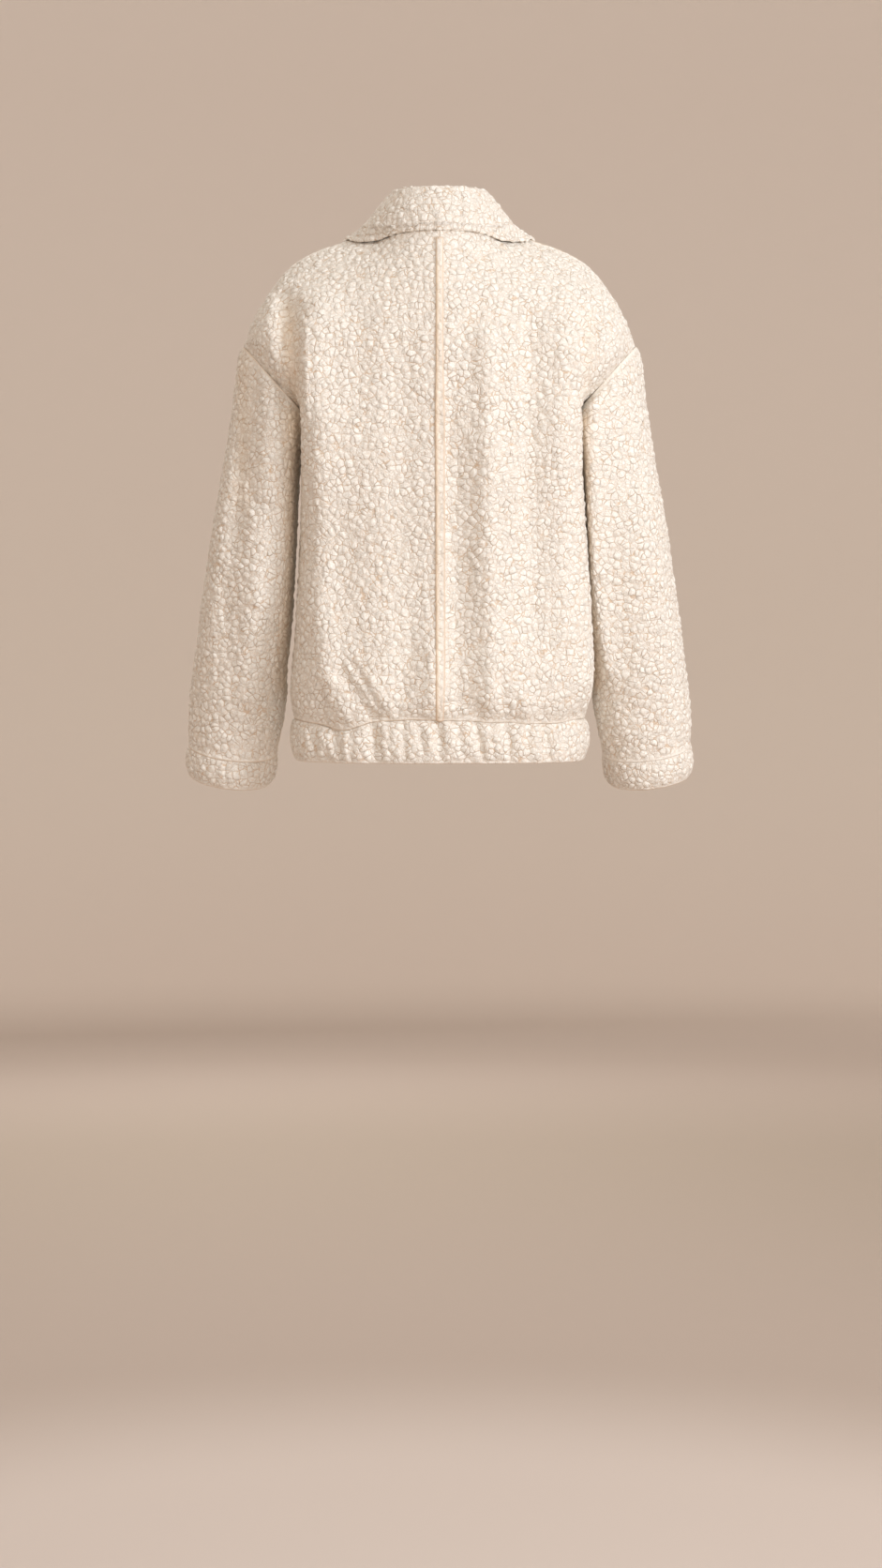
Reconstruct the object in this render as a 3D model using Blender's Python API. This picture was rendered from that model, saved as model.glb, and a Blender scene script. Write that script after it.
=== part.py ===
# A short shirt jacket in thick boucle fleece, worn form, buttoned and hollow.
# Metres, +Z up. The wearer faces -Y, and the wearer's left is +X. The origin lies midway
# between the shoulders, at the height where the collar meets them. Every piece of cloth is a
# wall between an outer and an inner grid of points.
import math

import bmesh
import bpy
import numpy as np
from mathutils import Vector
from mathutils.bvhtree import BVHTree

COLLECTION = "shirt_jacket"

# driving dimensions
WALL = 0.004              # thickness of the fleece
SEAM = 0.0003             # gap between two sewn pieces
BAND_GAP = 0.0006         # gap at the gathered seam over the hem band
ARMHOLE_GAP = 0.0006      # gap at the armhole seams
BAND_SEAM_Z = -0.600      # seam between the panels and the hem band
UNDERARM_Z = -0.243
NECK_BACK = (0.0, 0.072, 0.006)      # centre-back neck
NECK_SIDE = (0.070, -0.005, 0.006)   # where the neck meets the shoulder seam
NECK_FRONT = (0.0, -0.078, -0.060)   # centre-front neck
FRONT_LAP = 0.014         # how far each front passes the centre line
LAP_STEP = 0.0062         # how far the upper front is lifted over the lower one
LAP_EASE = 0.024          # how far past the lap the band is thinned
LIFT_EASE = 0.034         # how far past the lap the upper front comes down again
STRIP_WIDTH = 0.009       # raised strip down the centre-back seam
STRIP_HEIGHT = 0.0026
STRIP_SLOPE = 0.8         # height of the strip near its edges, as a share of its middle
ROLL_HEIGHT = 0.0120      # how far the back rolls out over the sleeves
ROLL_EDGE_LEFT = 0.1690   # where that roll ends, from the centre line
ROLL_EDGE_RIGHT = 0.1760
ROLL_SOFTNESS = 0.0045
CORNER_PLACE = 0.64       # the corners of the back, as a share of its depth
CORNER_SPREAD = 0.17
CORNER_REARWARD = 0.35    # how far they go backwards for each step sideways
SIDE_TURN_BACK = (0.60, 0.97)    # where a row turns in to the side seam, along its quarter turn
SIDE_TURN_FRONT = (0.45, 0.92)
SLEEVE_RADIUS = 0.058     # mean radius of a sleeve
COLLAR_SEAM = 0.0005      # gap at the neck seam
COLLAR_THICK = 0.0055
COLLAR_CLEAR = 0.0030     # air between the collar leaf and the shoulders
COLLAR_PARTING = 0.0015   # from the centre line to the front end of the collar
COLLAR_CREASE = 0.0065    # from the top of the collar down to the crease inside its fold
COLLAR_ROLL = 0.0050      # half the thickness of the fold at the top of the collar
COLLAR_PUFF = 0.0025      # how far the leaf swells between its fold and its edge
CUFF_DEPTH = 0.038
CUFF_TAPER = 0.05         # how much narrower a cuff is at its end
BUTTON_RADIUS = 0.011
BUTTON_THICK = 0.0036
BUTTON_ROUNDING = 0.0008
BUTTON_HOLE_RADIUS = 0.0011
BUTTON_HOLE_REACH = 0.0024
BUTTON_HEIGHTS = (-0.085, -0.215, -0.345, -0.475, -0.628)

# grid sizes, in cells
LOW_ROWS = 12             # band seam to underarm
HIGH_ROWS = 12            # underarm to shoulder, also half of a sleeve's girth
BACK_COLUMNS = 18
FRONT_COLUMNS = 17        # one of them carries the lap
SLEEVE_RINGS = 14
BACK_NECK_CELLS = 6
FRONT_NECK_CELLS = 7
ROW_CROWDING = 0.08       # how much closer the rows lie near the hem band and the underarm
RING_CROWDING = 1.15      # the same for the rings of a sleeve, towards the armhole

CREAM = (0.80, 0.70, 0.60)
HORN = (0.33, 0.22, 0.14)
CLOTH_ROUGHNESS = 0.95
HORN_ROUGHNESS = 0.45


def table(names, *rows):
    """A table of numbers whose columns are read by name."""
    return dict(zip(names.split(), np.array(rows, dtype=float).T))


# body below the underarm, a row for each level
BODY = table(
    "height back front reach seam square",
    (-0.600, 0.126, 0.124, 0.1830, 0.1810, 2.7),
    (-0.588, 0.135, 0.132, 0.1865, 0.1840, 2.7),
    (-0.564, 0.141, 0.138, 0.1895, 0.1865, 2.7),
    (-0.525, 0.138, 0.135, 0.1870, 0.1830, 2.7),
    (-0.490, 0.135, 0.132, 0.1840, 0.1800, 2.7),
    (-0.430, 0.132, 0.131, 0.1800, 0.1760, 2.7),
    (-0.360, 0.133, 0.133, 0.1760, 0.1715, 2.8),
    (-0.300, 0.135, 0.136, 0.1735, 0.1665, 3.0),
    (-0.270, 0.1355, 0.1365, 0.1730, 0.1600, 3.0),
    (-0.243, 0.1355, 0.1360, 0.1730, 0.1500, 3.0),
)
NECK_SQUARE = 2.15        # squareness of the rows at the neck
# how far the corners of the back stand out over the sleeves, on each side
CORNERS = table(
    "height left right",
    (-0.600, 0.000, 0.005),
    (-0.560, 0.001, 0.017),
    (-0.500, 0.002, 0.022),
    (-0.430, 0.003, 0.022),
    (-0.360, 0.004, 0.020),
    (-0.300, 0.006, 0.017),
    (-0.260, 0.009, 0.020),
    (-0.240, 0.010, 0.022),
    (-0.215, 0.009, 0.016),
    (-0.180, 0.002, 0.005),
    (-0.140, 0.000, 0.000),
)
# centre lines above the underarm
CENTRE_BACK = table(
    "height depth",
    (-0.243, 0.1355),
    (-0.190, 0.1345),
    (-0.140, 0.1300),
    (-0.080, 0.1150),
    (-0.030, 0.0920),
    (0.006, 0.0720),
)
CENTRE_FRONT = table(
    "height depth",
    (-0.243, 0.1360),
    (-0.200, 0.1325),
    (-0.150, 0.1215),
    (-0.100, 0.0990),
    (-0.060, 0.0780),
)
# shoulder seam, from the neck to the top of the armhole
SHOULDER = table(
    "across height",
    (0.0700, 0.0060),
    (0.0900, 0.0015),
    (0.1160, -0.0085),
    (0.1500, -0.0200),
    (0.1870, -0.0425),
    (0.2045, -0.0625),
    (0.2185, -0.0855),
    (0.2312, -0.1095),
    (0.2435, -0.1395),
)
# armhole: an ellipse in a plane that slopes down towards the body
ARMHOLE_TOP = np.array((0.2435, 0.0, -0.1395))
ARMHOLE_LOW = np.array((0.1500, 0.0, UNDERARM_Z))
ARMHOLE_DEPTH = 0.070
ARMHOLE_SLOPE = np.array((0.72, 0.0, -0.69))   # square to that plane, down the sleeve
ARMHOLE_TOP_WAY = np.array((-0.95, 0.0, -0.30))   # into the cloth at its top
# sleeve, seen from behind: its outer and its inner edge
SLEEVE_OUTER = table(
    "height across",
    (-0.6358, 0.3179),
    (-0.6200, 0.3185),
    (-0.5970, 0.3178),
    (-0.5250, 0.3083),
    (-0.4670, 0.3001),
    (-0.4080, 0.2909),
    (-0.3620, 0.2836),
    (-0.3150, 0.2750),
    (-0.2680, 0.2670),
    (-0.2330, 0.2610),
    (-0.1926, 0.2556),
    (-0.1600, 0.2518),
    (-0.1460, 0.2486),
    (-0.1395, 0.2435),
)
SLEEVE_INNER = table(
    "height across",
    (-0.6489, 0.2064),
    (-0.6310, 0.2020),
    (-0.6130, 0.1985),
    (-0.5970, 0.1955),
    (-0.5830, 0.1930),
    (-0.5490, 0.1917),
    (-0.4900, 0.1850),
    (-0.4320, 0.1808),
    (-0.3620, 0.1768),
    (-0.3300, 0.1754),
    (-0.2980, 0.1730),
    (-0.2720, 0.1665),
    (-0.2535, 0.1575),
    (-0.2430, 0.1500),
)
# sleeve along its length: 0 at the armhole, 1 at the cuff
SLEEVE_LINE = table(
    "along outer inner depth forward tilt",
    (0.00, -0.1395, -0.2430, 0.0700, 0.0000, 0.0),
    (0.04, -0.1475, -0.2535, 0.0715, 0.0000, 0.0),
    (0.10, -0.1700, -0.2740, 0.0720, 0.0000, 0.0),
    (0.25, -0.2450, -0.3260, 0.0705, -0.0020, 0.0),
    (0.50, -0.3850, -0.4320, 0.0660, 0.0010, 4.0),
    (0.75, -0.5150, -0.5430, 0.0610, 0.0200, 10.0),
    (1.00, -0.6358, -0.6489, 0.0550, 0.0450, 13.5),
)
# largest folds of the back: a soft ridge or trough from one point to another, and its height
FOLDS = "x0 z0 x1 z1 width height"
BACK_FOLDS = table(
    FOLDS,
    (0.151, -0.090, 0.153, -0.470, 0.012, 0.0035),
    (0.190, -0.095, 0.181, -0.205, 0.009, -0.0060),
    (-0.196, -0.100, -0.188, -0.205, 0.010, -0.0030),
    (0.153, -0.470, 0.092, -0.585, 0.012, 0.0035),
    (0.098, -0.105, 0.094, -0.218, 0.012, -0.0022),
    (0.027, -0.105, 0.020, -0.443, 0.018, -0.0026),
    (-0.041, -0.120, -0.036, -0.268, 0.012, -0.0032),
    (-0.004, -0.205, -0.069, -0.297, 0.008, 0.0018),
    (-0.018, -0.285, -0.043, -0.590, 0.011, -0.0045),
    (-0.080, -0.285, -0.088, -0.575, 0.018, 0.0035),
    (-0.150, -0.115, -0.134, -0.443, 0.012, -0.0045),
    (-0.134, -0.443, -0.125, -0.520, 0.011, -0.0035),
    (0.120, -0.545, 0.080, -0.597, 0.009, -0.0055),
    (0.027, -0.475, 0.050, -0.573, 0.009, -0.0035),
    (0.010, -0.500, 0.008, -0.590, 0.011, 0.0030),
    (-0.077, -0.570, -0.080, -0.597, 0.009, -0.0045),
    (-0.125, -0.560, -0.130, -0.597, 0.009, -0.0040),
    (-0.155, -0.560, -0.160, -0.597, 0.009, -0.0030),
    (0.148, -0.565, 0.140, -0.597, 0.009, -0.0035),
)
# folds of the fronts, which follow the same drape
FRONT_FOLDS = table(
    FOLDS,
    (0.145, -0.130, 0.138, -0.440, 0.013, 0.0035),
    (0.115, -0.180, 0.060, -0.420, 0.013, -0.0035),
    (0.060, -0.420, 0.045, -0.585, 0.012, -0.0035),
    (0.105, -0.500, 0.098, -0.595, 0.010, -0.0045),
    (0.150, -0.520, 0.144, -0.595, 0.010, -0.0040),
    (-0.150, -0.130, -0.142, -0.430, 0.013, 0.0035),
    (-0.100, -0.160, -0.072, -0.400, 0.013, -0.0035),
    (-0.072, -0.400, -0.090, -0.590, 0.012, -0.0040),
    (-0.135, -0.500, -0.140, -0.595, 0.010, -0.0045),
    (-0.050, -0.540, -0.047, -0.595, 0.010, -0.0030),
)
# folds of the sleeves: round the sleeve in degrees (0 outside, 90 back, 180 inside)
SLEEVE_FOLDS = "turn0 z0 turn1 z1 width height"
SLEEVE_LEFT_FOLDS = table(
    SLEEVE_FOLDS,
    (60.0, -0.185, 62.0, -0.370, 0.011, -0.0045),
    (88.0, -0.200, 105.0, -0.480, 0.012, 0.0035),
    (105.0, -0.480, 128.0, -0.620, 0.012, 0.0030),
    (38.0, -0.300, 44.0, -0.510, 0.011, 0.0025),
    (66.0, -0.430, 75.0, -0.540, 0.011, -0.0030),
    (-40.0, -0.220, -70.0, -0.400, 0.013, -0.0040),
    (-95.0, -0.260, -110.0, -0.420, 0.012, -0.0040),
    (-60.0, -0.420, -85.0, -0.440, 0.012, 0.0035),
    (-50.0, -0.480, -75.0, -0.600, 0.012, -0.0035),
)
SLEEVE_RIGHT_FOLDS = table(
    SLEEVE_FOLDS,
    (118.0, -0.190, 112.0, -0.320, 0.011, -0.0030),
    (74.0, -0.190, 82.0, -0.330, 0.011, -0.0030),
    (50.0, -0.330, 60.0, -0.520, 0.013, 0.0025),
    (95.0, -0.400, 110.0, -0.560, 0.012, -0.0028),
    (-45.0, -0.220, -72.0, -0.390, 0.013, -0.0040),
    (-100.0, -0.270, -112.0, -0.420, 0.012, -0.0040),
    (-62.0, -0.430, -86.0, -0.440, 0.012, 0.0035),
    (-52.0, -0.490, -78.0, -0.600, 0.012, -0.0035),
)
# gathers of the hem band across the back: place at its top and bottom, width and depth
GATHERS = table(
    "top bottom width depth",
    (0.156, 0.150, 0.0040, 0.0018),
    (0.128, 0.122, 0.0042, 0.0030),
    (0.104, 0.098, 0.0036, 0.0016),
    (0.082, 0.076, 0.0045, 0.0040),
    (0.044, 0.041, 0.0036, 0.0018),
    (0.026, 0.017, 0.0036, 0.0018),
    (0.001, -0.002, 0.0045, 0.0040),
    (-0.020, -0.031, 0.0038, 0.0020),
    (-0.043, -0.055, 0.0042, 0.0028),
    (-0.078, -0.088, 0.0036, 0.0018),
    (-0.107, -0.109, 0.0038, 0.0018),
    (-0.126, -0.135, 0.0044, 0.0034),
    (-0.152, -0.160, 0.0038, 0.0018),
)
# dips of the band seam below its level, across the back
SEAM_DIPS = table(
    "across drop",
    (-0.185, 0.0),
    (-0.160, -0.002),
    (-0.139, -0.006),
    (-0.110, -0.004),
    (-0.050, -0.003),
    (0.000, 0.001),
    (0.047, 0.000),
    (0.096, -0.007),
    (0.120, -0.013),
    (0.150, -0.006),
    (0.185, 0.0),
)
# hem band section: how far it stands out, and its height below the seam
BAND_SECTION = table(
    "out down",
    (0.0002, 0.0000),
    (0.0046, 0.0070),
    (0.0062, 0.0200),
    (0.0056, 0.0340),
    (0.0026, 0.0450),
    (-0.0010, 0.0510),
    (-0.0034, 0.0525),
)
BAND_INSIDE = -0.0058     # inner face of the band, from the panel's outer edge
BAND_INSIDE_LOW = 0.047   # heights of that face below the seam
BAND_INSIDE_MIDDLE = 0.024
# cuff section: how far it stands out, and its place down the cuff
CUFF_SECTION = table(
    "out down",
    (0.0000, 0.00),
    (0.0022, 0.16),
    (0.0034, 0.42),
    (0.0030, 0.70),
    (0.0004, 0.90),
    (-0.0028, 1.00),
)
CUFF_INSIDE = table(
    "out down",
    (0.0000, 0.00),
    (-0.0010, 0.50),
    (-0.0019, 0.96),
)
# collar leaf: its edge on the shoulders, a row for each place between centre back and front
LEAF_EDGE = table(
    "along x y z hug",
    (0.00, 0.000, 0.0810, -0.001, 0.0),
    (0.18, 0.034, 0.0715, -0.002, 0.0),
    (0.32, 0.063, 0.0530, -0.004, 0.0),
    (0.43, 0.085, 0.0350, -0.006, 0.0),
    (0.52, 0.1020, 0.0180, -0.006, 0.2),
    (0.60, 0.1130, -0.0020, -0.006, 0.6),
    (0.74, 0.1170, -0.0450, -0.035, 1.0),
    (0.88, 0.0960, -0.0860, -0.082, 1.0),
    (1.00, 0.0600, -0.1180, -0.128, 1.0),
)
# collar fold line: how high it stands over the neck seam and how far it leans in
STAND = table(
    "along rise lean",
    (0.00, 0.0425, 0.0130),
    (0.25, 0.0425, 0.0120),
    (0.50, 0.0400, 0.0090),
    (0.75, 0.0380, 0.0060),
    (1.00, 0.0330, 0.0030),
)


def read(source, name, at, key="height"):
    """A column read smoothly between the rows of its table."""
    keys = source[key]
    values = source[name]
    slopes = np.gradient(values, keys)
    at = np.clip(at, keys[0], keys[-1])
    low = np.clip(np.searchsorted(keys, at) - 1, 0, len(keys) - 2)
    span = keys[low + 1] - keys[low]
    t = (at - keys[low]) / span
    start = (1 + 2 * t) * (1 - t) ** 2 * values[low] + t * (1 - t) ** 2 * span * slopes[low]
    end = t * t * (3 - 2 * t) * values[low + 1] + t * t * (t - 1) * span * slopes[low + 1]
    return start + end


def ease(low, high, value):
    """A smooth step from 0 at low to 1 at high."""
    t = np.clip((value - low) / (high - low), 0.0, 1.0)
    return t * t * (3 - 2 * t)


def unit(vectors):
    """Vectors of length one."""
    return vectors / np.linalg.norm(vectors, axis=-1, keepdims=True)


def even_run(points, cells):
    """A line of points laid out again at an even spacing."""
    steps = np.linalg.norm(np.diff(points, axis=0), axis=1)
    length = np.concatenate(([0.0], np.cumsum(steps)))
    places = np.linspace(0.0, length[-1], cells + 1)
    return np.stack([np.interp(places, length, points[:, k]) for k in range(3)], axis=1)


def lapped_run(points, cells, lap):
    """An even run from the centre line, with one more cell that passes it by lap."""
    if lap == 0.0:
        return even_run(points, cells)
    edge = [np.interp(lap, points[:, 0], points[:, k]) for k in range(3)]
    return np.concatenate([[np.array(edge) * (-1.0, 1.0, 1.0)], even_run(points, cells - 1)])


def row_points(start, end, reach, square, cells, lap):
    """One level of a half panel, from its centre end to its side end."""
    side_turn = SIDE_TURN_BACK if start[1] > 0 else SIDE_TURN_FRONT
    turn = np.linspace(0.0, 1.0, 241)
    power = 2.0 / square
    out = np.sin(turn * math.pi / 2) ** power
    back = np.cos(turn * math.pi / 2).clip(0.0) ** power
    pull = ease(side_turn[0], side_turn[1], turn)
    x = start[0] + (reach - start[0]) * out - (reach - end[0]) * pull
    y = start[1] * back + end[1] * ease(0.40, 1.0, turn)
    z = end[2] + (start[2] - end[2]) * back
    return lapped_run(np.stack([x, y, z], axis=1), cells, lap)


def armhole_point(turn):
    """A point of the armhole: turn 0 at its top, pi at the underarm, back half positive."""
    middle = (ARMHOLE_TOP + ARMHOLE_LOW) / 2
    reach = (ARMHOLE_TOP - ARMHOLE_LOW) / 2
    depth = np.array((0.0, ARMHOLE_DEPTH, 0.0))
    return middle + reach * math.cos(turn) + depth * math.sin(turn)


def armhole_inward(turn, under):
    """The way into the cloth at the armhole: the walls part at the underarm, towards under."""
    way = ARMHOLE_TOP_WAY * max(math.cos(turn), 0.0)
    way = way + np.array((0.0, -1.0, 0.0)) * math.sin(turn)
    way = way + np.array((under, 0.0, 0.0)) * max(-math.cos(turn), 0.0)
    return unit(way)


def neck_arc(face, lap, cells):
    """The neck seam of a half panel, from the centre line to the shoulder seam."""
    turn = np.linspace(0.0, 1.0, 121) * math.pi / 2
    centre = NECK_BACK if face > 0 else NECK_FRONT
    out = np.sin(turn) ** 0.92
    back = np.cos(turn).clip(0.0) ** 0.92
    x = NECK_SIDE[0] * out
    y = NECK_SIDE[1] + (centre[1] - NECK_SIDE[1]) * back
    z = NECK_SIDE[2] + (centre[2] - NECK_SIDE[2]) * back
    return lapped_run(np.stack([x, y, z], axis=1), cells, lap)


def shoulder_seam(cells):
    """The shoulder seam, from the neck to the top of the armhole."""
    across = np.linspace(SHOULDER["across"][0], SHOULDER["across"][-1], 121)
    height = read(SHOULDER, "height", across, "across")
    y = NECK_SIDE[1] * (1 - ease(0.0, 1.0, (across - across[0]) / (across[-1] - across[0])))
    return even_run(np.stack([across, y, height], axis=1), cells)


def half_grid(face, cells, neck_cells, lap):
    """The plain form of a half panel on the wearer's left: face is 1 for back, -1 for front."""
    depth_name = "back" if face > 0 else "front"
    rows = []
    for k in range(LOW_ROWS):
        share = k / LOW_ROWS - ROW_CROWDING * math.sin(2 * math.pi * k / LOW_ROWS)
        z = BAND_SEAM_Z + (UNDERARM_Z - BAND_SEAM_Z) * share
        start = (0.0, face * read(BODY, depth_name, z), z)
        end = (read(BODY, "seam", z), 0.0, z)
        reach = read(BODY, "reach", z)
        rows.append(row_points(start, end, reach, read(BODY, "square", z), cells, lap))
    centre = CENTRE_BACK if face > 0 else CENTRE_FRONT
    low_reach = BODY["reach"][-1]
    low_square = BODY["square"][-1]
    upper = []
    for k in range(HIGH_ROWS + 1):
        share = k / HIGH_ROWS
        z = UNDERARM_Z + (centre["height"][-1] - UNDERARM_Z) * share
        start = (0.0, face * read(centre, "depth", z), z)
        end = armhole_point(math.pi * (1 - share))
        end[1] *= face
        reach = max(low_reach, end[0])
        square = low_square + (NECK_SQUARE - low_square) * share
        upper.append(row_points(start, end, reach, square, cells, lap))
    top = np.concatenate([
        neck_arc(face, lap, neck_cells)[:-1],
        shoulder_seam(cells - neck_cells),
    ])
    change = top - upper[-1]
    for k in range(HIGH_ROWS, -1, -1):
        upper[k] = upper[k] + change * (k / HIGH_ROWS) ** 4
        for _ in range(3):
            change[1:-1] = (change[:-2] + 2 * change[1:-1] + change[2:]) / 4
    grid = np.array(rows + upper)
    if lap == 0.0:
        grid[:, 0, 0] = SEAM / 2
    grid[:LOW_ROWS + 1, -1, 1] = face * SEAM / 2
    grid[-1, neck_cells:, 1] += face * SEAM / 2
    return grid


def grid_normals(grid, outward, wrap=False):
    """Unit normals of a grid of points, on the side that outward points to."""
    if wrap:
        along = np.roll(grid, -1, axis=1) - np.roll(grid, 1, axis=1)
    else:
        along = np.gradient(grid, axis=1)
    up = np.gradient(grid, axis=0)
    normals = unit(np.cross(along, up))
    sign = np.sign(np.sum(normals * outward))
    return normals * sign


def fold_height(x, z, folds, names=("x0", "z0", "x1", "z1")):
    """The height of all soft ridges and troughs at a place."""
    total = np.zeros_like(x)
    for k in range(len(folds["height"])):
        ax, az, bx, bz = (folds[name][k] for name in names)
        run = (bx - ax, bz - az)
        share = ((x - ax) * run[0] + (z - az) * run[1]) / (run[0] ** 2 + run[1] ** 2)
        share = np.clip(share, 0.0, 1.0)
        away = (x - ax - run[0] * share) ** 2 + (z - az - run[1] * share) ** 2
        total += folds["height"][k] * np.exp(-away / (2 * folds["width"][k] ** 2))
    return total


def armhole_roll(x, z, along):
    """The back rolls out over the sleeve along a standing crest beside the armhole."""
    level = ease(-0.050, -0.130, z) * (1 - ease(-0.240, -0.400, z))
    end = np.where(x > 0, ROLL_EDGE_LEFT, ROLL_EDGE_RIGHT)
    edge = 1 / (1 + np.exp((np.abs(x) - end) / ROLL_SOFTNESS))
    inside = ease(0.080, 0.150, np.abs(x))
    return ROLL_HEIGHT * level * edge * inside * (1 - ease(0.70, 0.90, along))


def corner_push(grid, side, along):
    """How far the corner of the back stands out over the sleeve, at each point."""
    depth = grid[:, :, 1] / grid[:, :1, 1]
    bell = np.exp(-(depth - CORNER_PLACE) ** 2 / (2 * CORNER_SPREAD ** 2))
    size = read(CORNERS, "left" if side > 0 else "right", grid[:, :, 2])
    return size * bell * (1 - ease(0.80, 1.0, along))


def torso_panel(face, side, folds, lift=0.0):
    """Outer and inner grids of a panel: side is 1 for the wearer's left, -1 for the right."""
    cells = BACK_COLUMNS if face > 0 else FRONT_COLUMNS
    neck_cells = BACK_NECK_CELLS if face > 0 else FRONT_NECK_CELLS
    grid = half_grid(face, cells, neck_cells, 0.0 if face > 0 else FRONT_LAP)
    grid[:, :, 0] *= side
    outward = grid * np.array((1.0, 1.0, 0.0))
    normals = grid_normals(grid, outward)
    along = np.linspace(0.0, 1.0, cells + 1)[None, :]
    x = grid[:, :, 0]
    z = grid[:, :, 2]
    height = fold_height(x, z, folds) * (1 - ease(0.88, 1.0, along))
    height = height * (1 - ease(-0.045, 0.0, z))
    raised = lift * (1 - ease(FRONT_LAP, FRONT_LAP + LIFT_EASE, side * x))
    grid = grid + normals * (height + raised)[:, :, None]
    if face > 0:
        push = corner_push(grid, side, along)
        grid[:, :, 0] += side * push
        grid[:, :, 1] += push * CORNER_REARWARD + armhole_roll(x, z, along)
        near_band = 1 - ease(0.0, 0.075, grid[:, :, 2] - BAND_SEAM_Z)
        grid[:, :, 2] += near_band * read(SEAM_DIPS, "drop", grid[:, :, 0], "across")
    inward = -grid_normals(grid, outward)
    inward = shared_edges(grid, inward, face, side, neck_cells)
    return grid, grid + inward * WALL


def near_armhole(points, inward, face, side, under):
    """Turns the ways into the cloth near the armhole to the one that its seam shares."""
    turns = np.linspace(0.0, math.pi, 57)
    flip = np.array((side, face, 1.0))
    edge = np.array([armhole_point(t) for t in turns]) * flip
    ways = np.array([armhole_inward(t, under) for t in turns]) * flip
    away = np.linalg.norm(points[:, :, None, :] - edge[None, None], axis=3)
    nearest = away.argmin(axis=2)
    share = 1 - ease(0.0, 0.016, away.min(axis=2))[:, :, None]
    return unit(inward * (1 - share) + ways[nearest] * share)


def shared_edges(grid, inward, face, side, neck_cells):
    """Gives the edges of a panel the ways into the cloth that its neighbours have too."""
    inward = inward.copy()
    if face > 0:
        inward[:, 0, 0] = 0.0
    inward[:LOW_ROWS, -1, 1] = 0.0
    inward[-1, neck_cells:, 1] = 0.0
    return near_armhole(grid, unit(inward), face, side, -1.0)


def sleeve_grid(side, folds):
    """Outer and inner grids of a sleeve, a ring of points for each level."""
    count = 2 * HIGH_ROWS
    turns = np.linspace(0.0, 2 * math.pi, count, endpoint=False)
    rings = []
    for k in range(SLEEVE_RINGS + 1):
        share = (k / SLEEVE_RINGS) ** RING_CROWDING
        outer_z = read(SLEEVE_LINE, "outer", share, "along")
        inner_z = read(SLEEVE_LINE, "inner", share, "along")
        depth = read(SLEEVE_LINE, "depth", share, "along")
        forward = read(SLEEVE_LINE, "forward", share, "along")
        tilt = math.radians(read(SLEEVE_LINE, "tilt", share, "along"))
        top = np.array((read(SLEEVE_OUTER, "across", outer_z), -forward, outer_z))
        low = np.array((read(SLEEVE_INNER, "across", inner_z), -forward, inner_z))
        back = np.array((0.0, depth * math.cos(tilt), -depth * math.sin(tilt)))
        ring = [(top + low) / 2 + (top - low) / 2 * math.cos(t) + back * math.sin(t) for t in turns]
        rings.append(np.array(ring))
    grid = np.array(rings)
    grid[0] += unit(ARMHOLE_SLOPE) * ARMHOLE_GAP
    middle = grid.mean(axis=1, keepdims=True)
    normals = grid_normals(grid, grid - middle, wrap=True)
    round_way = ((turns + math.pi) % (2 * math.pi) - math.pi) * SLEEVE_RADIUS
    places = {"width": folds["width"], "height": folds["height"]}
    for end in ("0", "1"):
        places["x" + end] = np.radians(folds["turn" + end]) * SLEEVE_RADIUS
        places["z" + end] = folds["z" + end]
    height = fold_height(np.tile(round_way, (SLEEVE_RINGS + 1, 1)), grid[:, :, 2], places)
    share = np.linspace(0.0, 1.0, SLEEVE_RINGS + 1)[:, None]
    height = height * ease(0.0, 0.16, share) * (1 - ease(0.90, 1.0, share))
    grid = grid + normals * height[:, :, None]
    inward = -grid_normals(grid, grid - middle, wrap=True)
    half = HIGH_ROWS + 1
    inward[:4, :half] = near_armhole(grid[:4, :half], inward[:4, :half], 1, 1, 1.0)
    inward[:4, half:] = near_armhole(grid[:4, half:], inward[:4, half:], -1, 1, 1.0)
    for j, turn in enumerate(turns):
        mirror = 1.0 if turn <= math.pi else -1.0
        inward[0, j] = armhole_inward(turn if mirror > 0 else 2 * math.pi - turn, 1.0)
        inward[0, j, 1] *= mirror
    inner = grid + inward * WALL
    grid[:, :, 0] *= side
    inner[:, :, 0] *= side
    return grid, inner


def add_piece(name, colour, mesh_builder):
    """A named object with a material of its own, from a function that fills a bmesh."""
    mesh = bpy.data.meshes.new(name)
    work = bmesh.new()
    mesh_builder(work)
    bmesh.ops.recalc_face_normals(work, faces=work.faces[:])
    work.to_mesh(mesh)
    work.free()
    for polygon in mesh.polygons:
        polygon.use_smooth = True
    mesh.set_sharp_from_angle(angle=math.radians(50))
    piece = bpy.data.objects.new(name, mesh)
    bpy.data.collections[COLLECTION].objects.link(piece)
    material = bpy.data.materials.new(name + "_material")
    material.use_nodes = True
    shader = material.node_tree.nodes["Principled BSDF"]
    shader.inputs["Base Color"].default_value = (*colour, 1.0)
    shader.inputs["Roughness"].default_value = HORN_ROUGHNESS if colour is HORN else CLOTH_ROUGHNESS
    mesh.materials.append(material)
    return piece


def skin_grid(work, grid, wrap):
    """Faces over a grid of points, and the grid of their vertices."""
    verts = [[work.verts.new(point) for point in row] for row in grid]
    width = len(verts[0])
    for r in range(len(verts) - 1):
        for c in range(width if wrap else width - 1):
            d = (c + 1) % width
            work.faces.new((verts[r][c], verts[r][d], verts[r + 1][d], verts[r + 1][c]))
    return verts


def close_edge(work, fine, coarse):
    """Faces between an edge and the same edge of the other side, which may have fewer points."""
    stride = (len(fine) - 1) // (len(coarse) - 1)
    for k in range(len(coarse) - 1):
        run = fine[k * stride:(k + 1) * stride + 1]
        work.faces.new(run + [coarse[k + 1], coarse[k]])


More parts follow.
